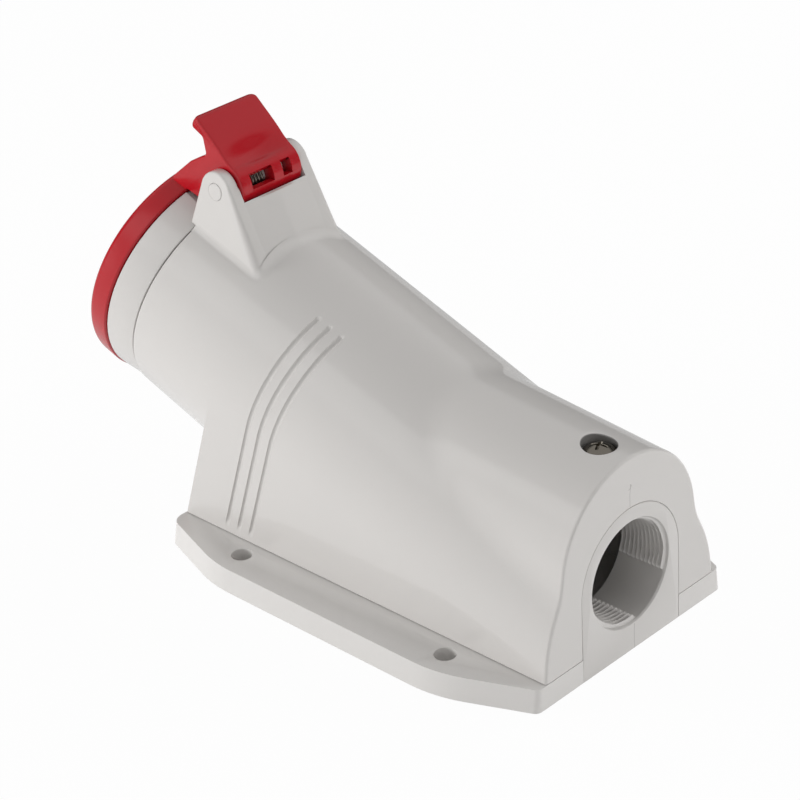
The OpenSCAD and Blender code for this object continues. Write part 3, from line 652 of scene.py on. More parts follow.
def housing_mesh(h, k):
    """Whole housing: outer skin in sections, walls, bore, inner skin, foot and hinge block."""
    half, skirt, low = 76, 34, 30
    front = -h.front_s
    s = section_places(h, front)
    across = plane_across(h, s)
    near = 1 - np.array([0.015, 0.0095, 0.0079, 0.0062, 0.0046, 0.0031, 0.0019, 0.0009, 0.0003, 0])
    t = np.concatenate([np.linspace(0, 0.972, 66)[1:], near])
    planes = np.concatenate([across, between(across[-1], [h.end_x, h.end_x], t)])
    at_front = int(np.argmin(np.abs(s - front)))
    shell = Shell()

    roof = roof_patch(h, planes, half)
    mid = half - 1
    rows = np.where(np.abs(roof[:, mid, 0] - h.screw_x) < WELL_PATCH)[0]
    cols = np.where(np.abs(roof[rows[len(rows) // 2], :, 1]) < WELL_PATCH)[0]
    shell.grid(roof, hole=(rows[0], rows[-1], cols[0], cols[-1]))
    screw_well(h, shell, rim_of(roof[rows[0]:rows[-1] + 1, cols[0]:cols[-1] + 1]))

    right = skirt_patch(h, planes[at_front:], skirt)
    left = mirrored(right)
    shell.grid(right)
    shell.grid(left)

    # underside of the barrel, from the right split down round to the left split
    lo = math.acos(h.split / h.barrel_r)
    turn = np.linspace(lo, 2 * math.pi - lo, 2 * skirt + low)
    barrel_s = s[:at_front + 1, None]
    under = turned(h, barrel_s, h.barrel_r - edge_inset(-barrel_s, FRONT_ROUND), turn)
    shell.grid(under)
    foot = np.linspace(right[0, -1], left[0, -1], low + 2)[1:-1]
    outline = np.concatenate([right[0], foot, left[0, ::-1]])
    shell.grid(np.stack([under[-1], outline]))

    # front lip, bore, ledge and hole of the carrier, all on the same columns
    first = np.concatenate([roof[0], under[0, 1:-1]])
    _, fr = along_axis(h, first)
    turn = np.arctan2(first[:, 1], fr)
    back = front - h.partition
    ring = [first] + [turned(h, a, r, turn) for a, r in (
        (0, h.bore_r), (front, h.bore_r), (front, h.carrier_hole), (back, h.carrier_hole))]
    _, _, base = plane_frame(h, plane_across(h, np.array([back])))
    inner_r = h.barrel_r - h.wall
    cos, sin = np.cos(turn), np.sin(turn)
    down = np.where(cos < -TINY, base[0] / np.minimum(cos, -TINY), 1e6)
    sideways = np.where(cos < 0, inner_r / np.maximum(np.abs(sin), TINY), inner_r)
    last = turned(h, back, np.minimum(down, sideways), turn)
    shell.grid(np.stack(ring + [last]), wrap=True)

    # inner skin from the back of the partition to the end wall, on the columns that meet a wall
    order = np.argsort(turn)
    loop, by_turn = last[order], turn[order]
    walled = down[order] > sideways[order]
    inner_first = loop[walled]
    floor_pts = np.concatenate([loop[~walled & (by_turn > 0)], loop[~walled & (by_turn <= 0)]])
    inner_end = h.end_x - h.wall
    inner_planes = between(plane_across(h, np.array(back)), [inner_end, inner_end],
                           np.linspace(0, 1, 24))[1:]
    in_roof = roof_patch(h, inner_planes, 60, h.wall)
    in_right = skirt_patch(h, inner_planes, 30, h.wall)
    full = np.concatenate([mirrored(in_right)[:, ::-1], in_roof[:, 1:-1], in_right], 1)
    rows = [inner_first]
    for row in full:
        run = run_along(row)
        rows.append(points_at(row, run, np.linspace(0, run[-1], len(inner_first))))
    inner = np.stack(rows)
    shell.grid(inner)

    # end wall: outer face to the arch, arch, inner face
    bell = np.concatenate([left[-1, ::-1], roof[-1, 1:-1], right[-1]])
    arch = arch_points(h, h.end_x, 20, 121)
    run, arch_run = run_along(bell), run_along(arch)
    arch = points_at(arch, arch_run, run / run[-1] * arch_run[-1])
    t = np.concatenate([[0, 0.03], np.linspace(0.1, 0.95, 7), [0.98]])[:, None, None]
    cap = np.concatenate([bell * (1 - t) + arch * t, arch[None] - np.array([ARCH_DROP, 0, 0])])
    end_dimple(h, shell, cap, mid + skirt - 1)
    arch_in = arch - np.array([h.wall, 0, 0])
    shell.grid(np.stack([cap[-1], arch_in]))
    shell.plate(np.concatenate([inner[-1], arch_in[::-1]]))

    # foot: one flat face from leg to leg
    shell.plate(np.concatenate([
        cap[::-1, -1], right[-2::-1, -1], foot, left[:, -1], cap[1:, 0], arch_in[:1],
        inner[::-1, 0], floor_pts[::-1], inner[:, -1], arch_in[-1:]]))
    hinge_block(h, k, shell)
    foot_fillet(h, k, shell)
    return shell.mesh("housing_skin", sharp=40)


# Hinge block, pin and spring

# counts of points round the hinge block: ear or slot, back, foot and rise at the front
EAR_COUNT, BACK_COUNT, FOOT_COUNT, RISE_COUNT = 33, 30, 12, 4
BACK_END = EAR_COUNT + BACK_COUNT
FOOT_END = BACK_END + FOOT_COUNT
LIP = FOOT_END + RISE_COUNT
SLOT_EDGE = 0.4     # radius of the inner edges of the ears
BURIED = 1.9        # depth of the block's foot inside the wall of the barrel
STRIP_BURIED = 0.9  # depth of the fillet strip inside the foot
STRIP_SUNK = 0.012  # depth by which the fillet's edges lie under the skins
PIN_SEAT = 1.6      # depth of the recess for the pin in an ear
# counts of points along the foot fillet: side, corner and back
SIDE_COUNT, CORNER_COUNT, BEHIND_COUNT = 24, 9, 25


def loft(shell, columns):
    """Closed body between closed loops set side by side, with a flat face on each end."""
    points = np.stack(columns)
    shell.grid(points, wrap=True)
    shell.plate(points[0])
    shell.plate(points[-1])


def inset_loop(loop, amount):
    """Closed side outline moved in along its own normals, by an amount for each point."""
    run = unit(np.roll(loop, -1, 0) - np.roll(loop, 1, 0))
    return loop - np.stack([run[:, 1], -run[:, 0]], -1) * np.reshape(amount, (-1, 1))


def line(start, end, count):
    """Evenly spaced points from start up to, but not including, end."""
    return np.linspace(start, end, count, endpoint=False)


def ear_width(k, r):
    """Half width of the hinge block at height r, wider towards its foot by the draft."""
    return k.ear_y + (k.pin_h - r) * math.tan(k.ear_draft)


def back_line(k, r):
    """Place along the axis of the sloping back of the hinge block at height r."""
    heel = math.pi / 2 + k.back_slope
    s, top = k.pin_s + k.ear_r * math.cos(heel), k.pin_h + k.ear_r * math.sin(heel)
    return s - (top - r) / math.tan(k.back_slope)


def block_loop(h, k, y, slot):
    """Side outline of the hinge block at y: front, ear or slot, back, and a foot in the wall."""
    pin, front = (k.pin_s, k.pin_h), k.pin_s + k.ear_r
    low = math.sqrt((h.barrel_r + k.lip_gap) ** 2 - y * y)
    bury = math.sqrt((h.barrel_r - BURIED) ** 2 - y * y)
    heel = 90 + math.degrees(k.back_slope)
    if slot:
        floor_r = k.pin_h - k.slot_r
        gap = k.slot_r ** 2 - k.ear_r ** 2
        edge = heel + math.degrees(math.atan2(math.sqrt(gap), k.ear_r))
        top = [line((front, low), (front, floor_r), 8),
               line((front, floor_r), (k.pin_s, floor_r), 5),
               arc(pin, k.slot_r, 270, edge, 20)]
    else:
        top = [line((front, low), (front, k.pin_h), 8), arc(pin, k.ear_r, 0, heel, 25)]
    last = top[-1][-1]
    foot = (back_line(k, bury), bury)
    return np.concatenate(top + [
        line(last, foot, BACK_COUNT + 1)[1:], line(foot, (0, bury), FOOT_COUNT),
        line((0, bury), (0, low), RISE_COUNT), line((0, low), (front, low), 3)])


def hinge_block(h, k, shell):
    """Two drafted ears and the creased back between them, lofted sideways.

    Outlines draw in by a quarter round at the sides; it grows from the ear down the back."""
    foot_y = ear_width(k, h.barrel_r)
    wide = block_loop(h, k, foot_y, False)
    index = np.arange(len(wide))
    on_back = (index >= EAR_COUNT) & (index <= BACK_END)
    under = (index > BACK_END) & (index < LIP)
    top = k.pin_h + k.ear_r
    grow = np.clip((top - wide[:, 1]) / (top - h.barrel_r), 0, 1)
    back_rho = k.edge_r + (k.back_edge_r - k.edge_r) * grow
    rho = np.where(on_back, back_rho, np.where(under, 0, k.edge_r))
    rho[LIP:] = k.edge_r / 2

    def column(loop, y):
        return tilted(h, loop[:, 0], loop[:, 1], y)

    def drawn_in(amount):
        """Outline drawn in along its normals, or along the axis on the back."""
        loop = inset_loop(wide, np.where(on_back, 0, amount))
        loop[on_back, 0] = wide[on_back, 0] + amount[on_back] / math.sin(k.back_slope)
        loop[BACK_END:FOOT_END + 1, 0] = np.linspace(
            loop[BACK_END, 0], loop[FOOT_END, 0], FOOT_COUNT + 1)
        return loop

    right = []
    for a in np.radians([90, 72, 54, 36, 18, 0]):
        loop = drawn_in(rho * (1 - math.cos(a)))
        right.append(column(loop, ear_width(k, loop[:, 1]) - rho * (1 - math.sin(a))))
    inner = block_loop(h, k, k.slot_y, False)
    soft = np.where(np.arange(len(inner)) <= EAR_COUNT, SLOT_EDGE, 0.0)
    for a in np.radians([0, 45, 90]):
        right.append(column(inset_loop(inner, soft * (1 - math.cos(a))),
                            k.slot_y + SLOT_EDGE * (1 - math.sin(a))))

    middle = []
    for y in np.concatenate([[k.slot_y], np.linspace(11, -11, 23), [-k.slot_y]]):
        loop = block_loop(h, k, y, True)
        rise = k.crease * (1 - abs(y) / k.slot_y) * np.where(on_back, 1.0, 0.0)
        loop = loop + rise[:, None] * np.array([-math.sin(k.back_slope), math.cos(k.back_slope)])
        middle.append(column(loop, y))
    left = [mirrored(c) for c in right[::-1]]
    shell.grid(np.stack(right + middle + left), wrap=True)

    # side faces with a round recess in which the end of the pin sits
    loop = drawn_in(rho)
    turn = np.arctan2(loop[:, 1] - k.pin_h, loop[:, 0] - k.pin_s)

    def ring(r, deep):
        at = np.stack([k.pin_s + r * np.cos(turn), k.pin_h + r * np.sin(turn)], -1)
        return column(at, ear_width(k, at[:, 1]) - deep)

    near = loop + 0.03 * (np.array([k.pin_s, k.pin_h]) - loop)
    rows = [right[0], column(near, ear_width(k, near[:, 1]))]
    rows += [ring(k.pin_end_r + r, deep) for r, deep in (
        (0.4, 0), (0.16, 0), (0.07, 0.06), (0.06, PIN_SEAT), (-k.pin_end_r, PIN_SEAT))]
    shell.grid(np.stack(rows), wrap=True)
    shell.grid(mirrored(np.stack(rows)), wrap=True)


def foot_fillet(h, k, shell):
    """Soft hollow round the foot of the hinge block: a curved strip along its foot line.

    At each place it is a quadratic curve from the block, by the foot line, to the barrel,
    and it is closed inside the wall."""
    tan, rho = math.tan(k.ear_draft), k.back_edge_r
    y = k.ear_y + (k.pin_h - h.barrel_r) * tan
    for _ in range(20):
        y = k.ear_y + (k.pin_h - math.sqrt(h.barrel_r ** 2 - y * y)) * tan
    slope = np.array([math.cos(k.back_slope), 0, math.sin(k.back_slope)])

    def on_barrel(y):
        return np.sqrt(h.barrel_r ** 2 - y * y)

    a = np.radians(np.linspace(90, 0, CORNER_COUNT))
    corner_y = y - rho * (1 - np.sin(a))
    inward = rho * (1 - np.cos(a))
    corner_s = back_line(k, on_barrel(corner_y)) + inward / math.sin(k.back_slope)
    side_s = line(0, corner_s[0], SIDE_COUNT)
    back_y = np.linspace(corner_y[-1], 0, BEHIND_COUNT + 1)[1:]
    s = np.concatenate([side_s, corner_s, back_line(k, on_barrel(back_y))])
    ys = np.concatenate([y + 0 * side_s, corner_y, back_y])
    mix = np.concatenate([0 * side_s, (1 - np.sin(a)) ** 0.5, 1 + 0 * back_y])[:, None]
    crease = k.crease * (1 - ys / y) * mix[:, 0]
    r = on_barrel(ys)
    s = s - crease / math.sin(k.back_slope)
    foot = np.stack([s, ys, r], -1)
    edge = unit(slope - tan * slope[2] * SIDEWAYS)
    lean = np.concatenate([np.linspace(0, 1, SIDE_COUNT), 1 + 0 * a,
                           np.linspace(1, 0, BEHIND_COUNT)])[:, None] ** 2
    beside = np.arange(len(s))[:, None] < SIDE_COUNT + CORNER_COUNT // 2
    straight = np.where(beside, unit(np.array([0, -tan, 1.0])), slope)
    up = unit(straight * (1 - lean) + edge * lean)
    out_side = np.stack([0 * r, r, -ys], -1) / h.barrel_r
    out = unit(out_side * (1 - mix) + np.array([-1.0, 0, 0]) * mix)
    size = k.side_fillet + (k.foot_fillet - k.side_fillet) * mix
    t = np.linspace(0, 1, 9)[:, None, None]
    strip = foot + up * size * (1 - t) ** 2 + out * size * t ** 2
    inwards = unit(up + out)
    bury = foot - inwards * STRIP_BURIED
    tube = np.concatenate([strip - inwards * STRIP_SUNK, bury[None]])
    both = np.concatenate([tube, mirrored(tube)[:, -2::-1]], 1).transpose(1, 0, 2)
    loft(shell, [tilted(h, loop[:, 0], loop[:, 2], loop[:, 1]) for loop in both])


def pin_mesh(h, k):
    """Hinge pin: a rod about the pin axis, with narrower ends that lie in the slant of the ears."""
    t = line(0, 2 * math.pi, 64)
    end = k.pin_end_r
    shoulder = PIN_SEAT - 0.1
    profile = [(0, 0), (end - 0.5, 0), (end - 0.16, 0.0), (end - 0.05, 0.05), (end, 0.16),
               (end, shoulder), (k.pin_r, shoulder)]
    r, deep = np.asarray(profile).T[:, :, None]
    up = k.pin_h + r * np.sin(t)
    half = tilted(h, k.pin_s + r * np.cos(t), up, ear_width(k, up) + k.pin_proud - deep)
    return joined(np.concatenate([half, mirrored(half)[::-1]]), "hinge_pin", 50)


def tube_along(path, radius, sides=10):
    """Loops of a round wire along a path, each square to the path."""
    run = unit(np.gradient(path, axis=0))
    u = unit(np.cross(run, SIDEWAYS))
    v = np.cross(run, u)
    t = line(0, 2 * math.pi, sides)[:, None]
    return path[:, None] + radius * (u[:, None] * np.cos(t) + v[:, None] * np.sin(t))


def spring_mesh(h, k):
    """Torsion spring on the pin: a leg, a helix of close turns and a leg, as one round wire."""
    turns = np.radians(-90 + 360 * np.linspace(0, k.turns, int(32 * k.turns)))
    advance = k.coil_pitch * (turns - turns[0]) / (2 * math.pi)
    coil = np.stack([k.pin_s + k.coil_r * np.cos(turns), k.coil_y + advance,
                     k.pin_h + k.coil_r * np.sin(turns)], -1)
    bend_r = 0.6
    bend = arc((k.pin_s + bend_r, k.pin_h - k.coil_r + bend_r), bend_r, 180, 255, 6)
    first = np.column_stack([bend[:, 0] - bend_r, k.coil_y + 0 * bend[:, 0], bend[:, 1]])
    inner = first[0] + line(k.leg_pin - bend_r, 0, 4)[:, None] * np.array([0, 0, 1.0])
    last = coil[-1] - np.linspace(0, k.leg_lid, 5)[1:, None] * np.array([1.0, 0, 0])
    path = np.concatenate([inner, first, coil[1:], last])
    shell = Shell()
    loft(shell, list(tube_along(tilted(h, path[:, 0], path[:, 2], path[:, 1]), k.wire_r)))
    return shell.mesh("spring_coil", sharp=50)


# Lid

# underside of the lid arm and tab, as places along and above the socket axis, and its roundings
ARM_UNDER = ((2.7, 39.6), (4.4, 36.9), (11.5, 36.4), (11.5, 32.4), (17.2, 32.4), (17.8, 37.2),
             (12.1, 46.5), (8.9, 50.2), (6.2, 52.9), (8.87, 57.8))
ARM_ROUNDS = (1.0, 0.8, 0.6, 0.4, 0.4, 0.8, 6, 6, 1.3, 1.5)
FACE_COUNT = 48     # points up the face of the tab


def tab_way(lid):
    """Directions up the face of the tab and out of it."""
    up = np.array([math.cos(lid.tab_angle), math.sin(lid.tab_angle)])
    return up, np.array([-up[1], up[0]])


def arm_loop(k, lid, window):
    """Side outline of the arm, knuckle and tab; at a window the knuckle is hollow."""
    pin, face = (k.pin_s, k.pin_h), 90 + math.degrees(lid.tab_angle)

    def knuckle(start, end, count):
        return arc(pin, lid.knuckle_r, start, end, count)

    if window:
        hollow = arc(pin, lid.hollow_r, lid.window_top, lid.window_low - 360, 43)
        middle = np.concatenate([hollow, knuckle(lid.window_low, 0, 1)])
    else:
        middle = knuckle(lid.window_top, lid.window_low, 44)
    up, out = tab_way(lid)
    heel = knuckle(face, face, 1)[0]
    tip = heel + up * lid.tab_reach
    nose = tip - lid.nose_r * out
    under = rounded([(k.pin_s, k.pin_h - lid.knuckle_r), *ARM_UNDER, nose + (0.25, -lid.nose_r)],
                    ARM_ROUNDS)
    return np.concatenate([
        knuckle(face, lid.window_top, 5)[:-1], middle, knuckle(lid.window_low, 270, 6)[1:-1],
        under[:-1], arc(nose, lid.nose_r, -83, face, 15), line(tip, heel, FACE_COUNT + 1)[1:]])


def lid_arm(h, k, lid, shell):
    """Arm, knuckle and tab lofted sideways; the tab's corners are rounded and its face is dished.

    The dish is a bell curve up the tab and another across it, and it ends at the knuckle."""
    full, window = arm_loop(k, lid, False), arm_loop(k, lid, True)
    up, out = tab_way(lid)
    far = (full @ up).max()
    on_face = np.zeros(len(full))
    up_face = line(lid.tab_reach, 0, FACE_COUNT + 1)[1:]
    spread = np.where(up_face > lid.dish_place, 0.8, 1.0) * lid.dish_len
    bell = np.exp(-0.5 * ((up_face - lid.dish_place) / spread) ** 2)
    on_face[-FACE_COUNT:] = bell * np.clip(up_face / 2, 0, 1)

    def column(loop, y):
        d = np.clip(lid.tab_corner - (far - loop @ up), 0, lid.tab_corner)
        width = 1 - (lid.tab_corner - np.sqrt(lid.tab_corner ** 2 - d ** 2)) / lid.arm_y
        dish = lid.tab_dish * on_face * math.exp(-0.5 * (y / lid.dish_width) ** 2)
        at = loop - dish[:, None] * out
        return tilted(h, at[:, 0], at[:, 1], y * width)

    edge, cheek = lid.soft_edge, lid.arm_y - lid.cheek_t
    side = [column(inset_loop(full, edge * (1 - math.cos(a))), lid.arm_y - edge * (1 - math.sin(a)))
            for a in np.radians([90, 67, 45, 22, 0])]
    side += [column(full, y) for y in np.linspace(11, cheek, 5)]
    spans = ((window, cheek, lid.rib_high, 6), (full, lid.rib_high, lid.rib_low, 6),
             (window, lid.rib_low, -cheek, 14))
    middle = [column(loop, y) for loop, first, last, count in spans
              for y in np.linspace(first, last, count)]
    loft(shell, side + middle + [mirrored(c) for c in side[::-1]])


def lid_disc(h, lid, shell):
    """Domed face with a rounded edge, rim and gasket groove, turned about the socket axis."""
    r = np.linspace(0, lid.rim_r - lid.edge_r, 16)
    face = np.stack([r, lid.front + lid.dome * (1 - (r / r[-1]) ** 2)], -1)
    inside = lid.front - lid.face_t
    rest = rounded([face[-1], (lid.rim_r, lid.front), (lid.rim_r, lid.back), (lid.seat_r, lid.back),
                    (lid.seat_r, lid.seat_s), (lid.inner_r, lid.seat_s), (lid.inner_r, inside),
                    (0, inside + 0.5)], (lid.edge_r, 0.7, 0.5, 0.2, 0.4, 1.0))
    r, s = np.concatenate([face, rest[1:]]).T[:, :, None]
    t = line(0, 2 * math.pi, 180)
    shell.grid(turned(h, s, r, t), wrap=True)


def lid_mesh(h, k, lid):
    """Whole lid: the turned disc and the lofted arm."""
    shell = Shell()
    lid_disc(h, lid, shell)
    lid_arm(h, k, lid, shell)
    return shell.mesh("lid_skin", sharp=38)


# Collar, cable entry, screw and base plate

def collar_mesh(h, c):
    """Collar: a profile about the socket axis, flat at the notch above and the keyway below."""
    middle = (c.tube_back / 2, c.bore_r)
    profile = rounded([middle, (c.tube_back, c.bore_r), (c.tube_back, c.tube_r), (c.gap, c.tube_r),
                       (c.gap, c.rim_back_r), (c.rim_s, c.rim_front_r), (c.rim_s, c.bore_r),
                       middle],
                      (0.3, 0.3, 0.1, 0.35, 0.5, 0.8), 6)
    s, r = profile[:, :1], profile[:, 1:]
    notch, key = math.asin(c.notch_y / c.rim_front_r), math.asin(c.key_y / c.bore_r)
    inside = np.array([-1.0, 1.0]) * (1 - 1e-4)
    even = line(-math.pi, math.pi, 200) + 0.004
    cuts = [notch * inside, notch / inside, key * inside - math.pi, key / inside - math.pi]
    t = np.sort(np.concatenate([even] + cuts) % (2 * math.pi))
    t = np.where(t > math.pi, t - 2 * math.pi, t)
    up, y = r * np.cos(t), r * np.sin(t)
    up = np.where((np.abs(t) < notch) & (s > 0), np.minimum(up, c.notch_h), up)
    from_below = math.pi - np.abs(t)
    up = np.where((from_below < key) & (r < c.tube_r - 0.5), -c.key_h + 0 * r, up)
    return joined(tilted(h, s, up, y), "collar_ring", 38)


def softened(node, name, width, picks, added=None, moved=None):
    """Copy of a solid as whole flat faces, with picked edges rounded and another mesh added.

    picks is a function of the middle of an edge, in mm, and of the angle between its faces.
    moved is a function that gives the points of the copy their new places, in mm."""
    mesh = frame["nodes"][node].data.copy()
    mesh.name = name
    if moved is not None:
        flat = np.empty(3 * len(mesh.vertices))
        mesh.vertices.foreach_get("co", flat)
        mesh.vertices.foreach_set("co", (moved(flat.reshape(-1, 3) / MM) * MM).ravel())
    bm = bmesh.new()
    bm.from_mesh(mesh)
    bmesh.ops.remove_doubles(bm, verts=bm.verts, dist=0.004 * MM)
    bmesh.ops.dissolve_limit(bm, angle_limit=math.radians(0.6), verts=bm.verts, edges=bm.edges)
    edges = [e for e in bm.edges if len(e.link_faces) == 2]
    ends = np.array([[tuple(v.co) for v in e.verts] for e in edges]) / MM
    bend = np.degrees(np.array([e.calc_face_angle_signed() for e in edges]))
    chosen = picks(ends.mean(1), bend)
    bmesh.ops.bevel(bm, geom=[e for e, take in zip(edges, chosen) if take], offset=width * MM,
                    segments=3, profile=0.5, affect="EDGES", clamp_overlap=True)
    if added is not None:
        bm.from_mesh(added)
    bm.to_mesh(mesh)
    bm.free()
    mesh.shade_smooth()
    mesh.set_sharp_from_angle(angle=math.radians(38))
    return mesh


def thread_mesh(h, c):
    """Thread of the cable entry: a tube whose bore rises along a helix, plain on two strips."""
    rows = int((c.thread_from - c.thread_to) / c.thread_pitch * 10)
    x = np.linspace(c.thread_to, c.thread_from, rows)[:, None]
    t = line(-math.pi, math.pi, 180)
    past = np.degrees(t) % 180
    strip_from, strip_to = 112, 172
    plain = np.clip(np.minimum(past - strip_from, strip_to - past), 0, 1)
    turn = (x / c.thread_pitch + t / (2 * math.pi)) % 1
    ridge = np.clip(1.1 - np.abs(turn - 0.5) * 4.4, 0, 1)
    ends = np.clip(np.minimum(x - c.thread_to, c.thread_from - x) / 0.5, 0, 1)
    r = c.thread_r - 0.05 - c.thread_depth * ridge * (1 - plain) * ends
    wall = c.thread_r + 0.3 + 0 * t
    loops = [np.stack([v + 0 * t, q * np.sin(t), h.entry_z + q * np.cos(t)], -1)
             for v, q in [(c.thread_to, wall)] + list(zip(x[:, 0], r)) + [
                 (h.end_x - 0.06, c.mouth_r + 0 * t), (c.thread_to, wall)]]
    return joined(np.stack(loops), "entry_thread", 60)


def screw_mesh(h, c):
    """Pan head screw: a domed head, lowered by a tapering cross, and a plain shank."""
    low, high = (float(corner[2]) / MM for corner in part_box("housing_screw"))
    washer, rim_w = 0.6, 0.45
    seat, brim = h.screw_seat_z + washer, c.head_r - rim_w
    r = np.concatenate([np.linspace(0, c.cross_r + 0.2, 46),
                        np.linspace(c.cross_r + 0.3, brim, 8)])[:, None]
    t = line(0, 2 * math.pi, 160)
    ball = c.head_ball
    dome = high + c.head_rise - (ball - np.sqrt(ball ** 2 - r ** 2))
    u, v = r * np.cos(t - c.cross_turn), r * np.sin(t - c.cross_turn)

    def slot(a, b):
        width = c.cross_w * (1 - 0.3 * np.abs(a) / c.cross_r)
        side = np.clip((width - np.abs(b)) / 0.22, 0, 1)
        end = np.clip((c.cross_r - np.abs(a)) / 0.5, 0, 1)
        return side * end * (1 - 0.45 * np.abs(a) / c.cross_r)

    z = dome - c.cross_depth * np.maximum(slot(u, v), slot(v, u))
    top = np.stack([h.screw_x + r * np.cos(t), r * np.sin(t), z], -1)
    edge = dome[-1, 0]
    rim = rounded([(brim, edge), (c.head_r, edge - 0.1), (c.head_r, seat), (c.shank_r, seat),
                   (c.shank_r, low), (0, low)], (0.5, 0.15, 0.1, 0.3), 5)[1:]
    q, zq = rim[:, :1], rim[:, 1:]
    rest = np.stack([h.screw_x + q * np.cos(t), q * np.sin(t), zq + 0 * t], -1)
    return joined(np.concatenate([top, rest]), "pan_head_screw", 45)


BASE_TOP = 7.5      # height of the base plate
BESIDE, BEFORE = 37.6, -73.0   # places past which the base plate is clear of the housing
SHARP_BEND = 30     # degrees from which an edge of a solid is rounded


def base_edges(middle, bend):
    """Picks the upper outer edge of the base plate and the edges of its fixing holes."""
    x, y, z = middle.T
    outer = (np.abs(y) > BESIDE) | (x < BEFORE)
    return (bend > SHARP_BEND) & (z > BASE_TOP - 0.2) & (z < BASE_TOP + 0.1) & outer


def widened(h, c):
    """Function that draws the bore of the cable entry out to the radius between the threads."""
    def moved(p):
        r = np.hypot(p[:, 1], p[:, 2] - h.entry_z)
        on_bore = (np.abs(r - c.bore_solid) < 0.1) & (p[:, 0] > c.thread_to - 1)
        grow = np.where(on_bore, (c.thread_r + 0.1) / np.maximum(r, TINY), 1.0)
        return np.column_stack([p[:, 0], p[:, 1] * grow, h.entry_z + (p[:, 2] - h.entry_z) * grow])
    return moved


def panel_edges(h):
    """Function that picks the front edges of the entry panel: its outline and its mouth."""
    def picks(middle, bend):
        return (bend > SHARP_BEND) & (middle[:, 0] > h.end_x - 0.2) & (middle[:, 2] > 1)
    return picks


# Finishes

class Sock:
    """Socket of a material's node tree with arithmetic; node() adds any other node."""

    def __init__(self, tree, out=None):
        self.tree, self.out = tree, out

    def node(self, kind, inputs=None, out=0, **settings):
        """New node with its settings and inputs, which are numbers, colours or other sockets."""
        made = self.tree.nodes.new(kind)
        for key, value in settings.items():
            setattr(made, key, value)
        for key, value in (inputs or {}).items():
            if isinstance(value, Sock):
                self.tree.links.new(value.out, made.inputs[key])
            else:
                made.inputs[key].default_value = value
        return Sock(self.tree, made.outputs[out])

    def maths(self, operation, *values):
        """Math node on the values."""
        return self.node("ShaderNodeMath", dict(enumerate(values)), operation=operation)


for word, kind in (("add", "ADD"), ("sub", "SUBTRACT"), ("mul", "MULTIPLY"), ("truediv", "DIVIDE"),
                   ("pow", "POWER")):
    setattr(Sock, f"__{word}__", lambda a, b, kind=kind: a.maths(kind, a, b))
    setattr(Sock, f"__r{word}__", lambda a, b, kind=kind: a.maths(kind, b, a))


def tint(value, factor):
    """Colour scaled by a factor, as four numbers."""
    return tuple(min(c * factor, 1.0) for c in value) + (1.0,)


def ease(value, first, last, start=0.0, end=1.0):
    """Socket that goes smoothly from start to end while value goes from first to last."""
    return value.node("ShaderNodeMapRange", {0: value, 1: first, 2: last, 3: start, 4: end},
                      interpolation_type="SMOOTHSTEP")


def blend(factor, first, last):
    """Colour socket that goes from first to last with the factor."""
    return factor.node("ShaderNodeMix", {0: factor, 6: first, 7: last}, out=2, data_type="RGBA")


def finish(name, base, rough, grain, grain_mm, metallic=0.0, coat=0.0, spec=0.5, weld=None,
           painted_well_shade=None):
    """Moulded or turned surface: a cloudy tint, a fine speckle, uneven gloss and a bumpy grain.

    weld is the place (x from, y, z from, z to, in mm) of a line where two flows met.
    The last argument gives the place and radius (x, y, r, in mm) of an upright well whose inside is
    darkened nearly to black, as painted shade."""
    material = bpy.data.materials.new(name)
    material.use_nodes = True
    tree = material.node_tree
    shader = tree.nodes["Principled BSDF"]
    for key, value in (("Metallic", metallic), ("Coat Weight", coat), ("Coat Roughness", 0.05),
                       ("Specular IOR Level", spec)):
        shader.inputs[key].default_value = value
    sock = Sock(tree)
    at = sock.node("ShaderNodeTexCoord", out="Object")

    def noise(size_mm, rough_mix=0.5):
        inputs = {"Vector": at, "Scale": 1 / (size_mm * MM), "Detail": 2.0, "Roughness": rough_mix}
        return sock.node("ShaderNodeTexNoise", inputs, out="Fac")

    cloud_mm, speck_mm, spread = 38, 0.8, 0.03
    cloud, speck, fine = noise(cloud_mm), noise(speck_mm), noise(grain_mm, 0.6)
    tone = 0.5 + (cloud - 0.5) * 0.7 + (speck - 0.5) * 0.3
    mix = blend(tone, tint(base, 1 - spread), tint(base, 1 + spread))
    x, y, z = (sock.node("ShaderNodeSeparateXYZ", {0: at}, out=axis) / MM for axis in "XYZ")
    if painted_well_shade is not None:
        well_x, well_y, well_r = painted_well_shade
        away = ((x - well_x) * (x - well_x) + (y - well_y) * (y - well_y)) ** 0.5
        # painted shade: the inside of the well goes nearly black, unevenly with the cloud
        well_darkening = ease(away, well_r, well_r + 0.35, 0.9, 0.0) * (0.7 + cloud * 0.5)
        mix = blend(well_darkening, mix, tint(base, 0.06))
    if weld is not None:
        from_x, weld_y, low, high = weld
        drift = y - weld_y + (noise(9) - 0.5) * 1.6
        off = drift.maths("ABSOLUTE", drift)
        streak = ease(off, 0.05, 0.16, 1.0, 0.0) * ease(x, from_x - 0.2, from_x)
        streak = streak * ease(z, low - 0.5, low) * ease(z, high, high + 0.5, 1.0, 0.0)
        mix = blend(streak * 0.5, mix, tint(base, 0.25))
    gloss = rough + (cloud - 0.5) * 0.08 + (speck - 0.5) * 0.04
    bump = sock.node("ShaderNodeBump", {"Strength": grain, "Distance": 0.05 * MM, "Height": fine})
    for made, key in ((mix, "Base Color"), (gloss, "Roughness"), (bump, "Normal")):
        tree.links.new(made.out, shader.inputs[key])
    return material


# Operators

def sizes(context):
    """Sizes of the housing, the hinge, the lid and the front pieces, in millimetres."""
    return [in_mm(getattr(context.scene, "socket_" + key))
            for key in ("housing", "hinge", "lid", "front")]


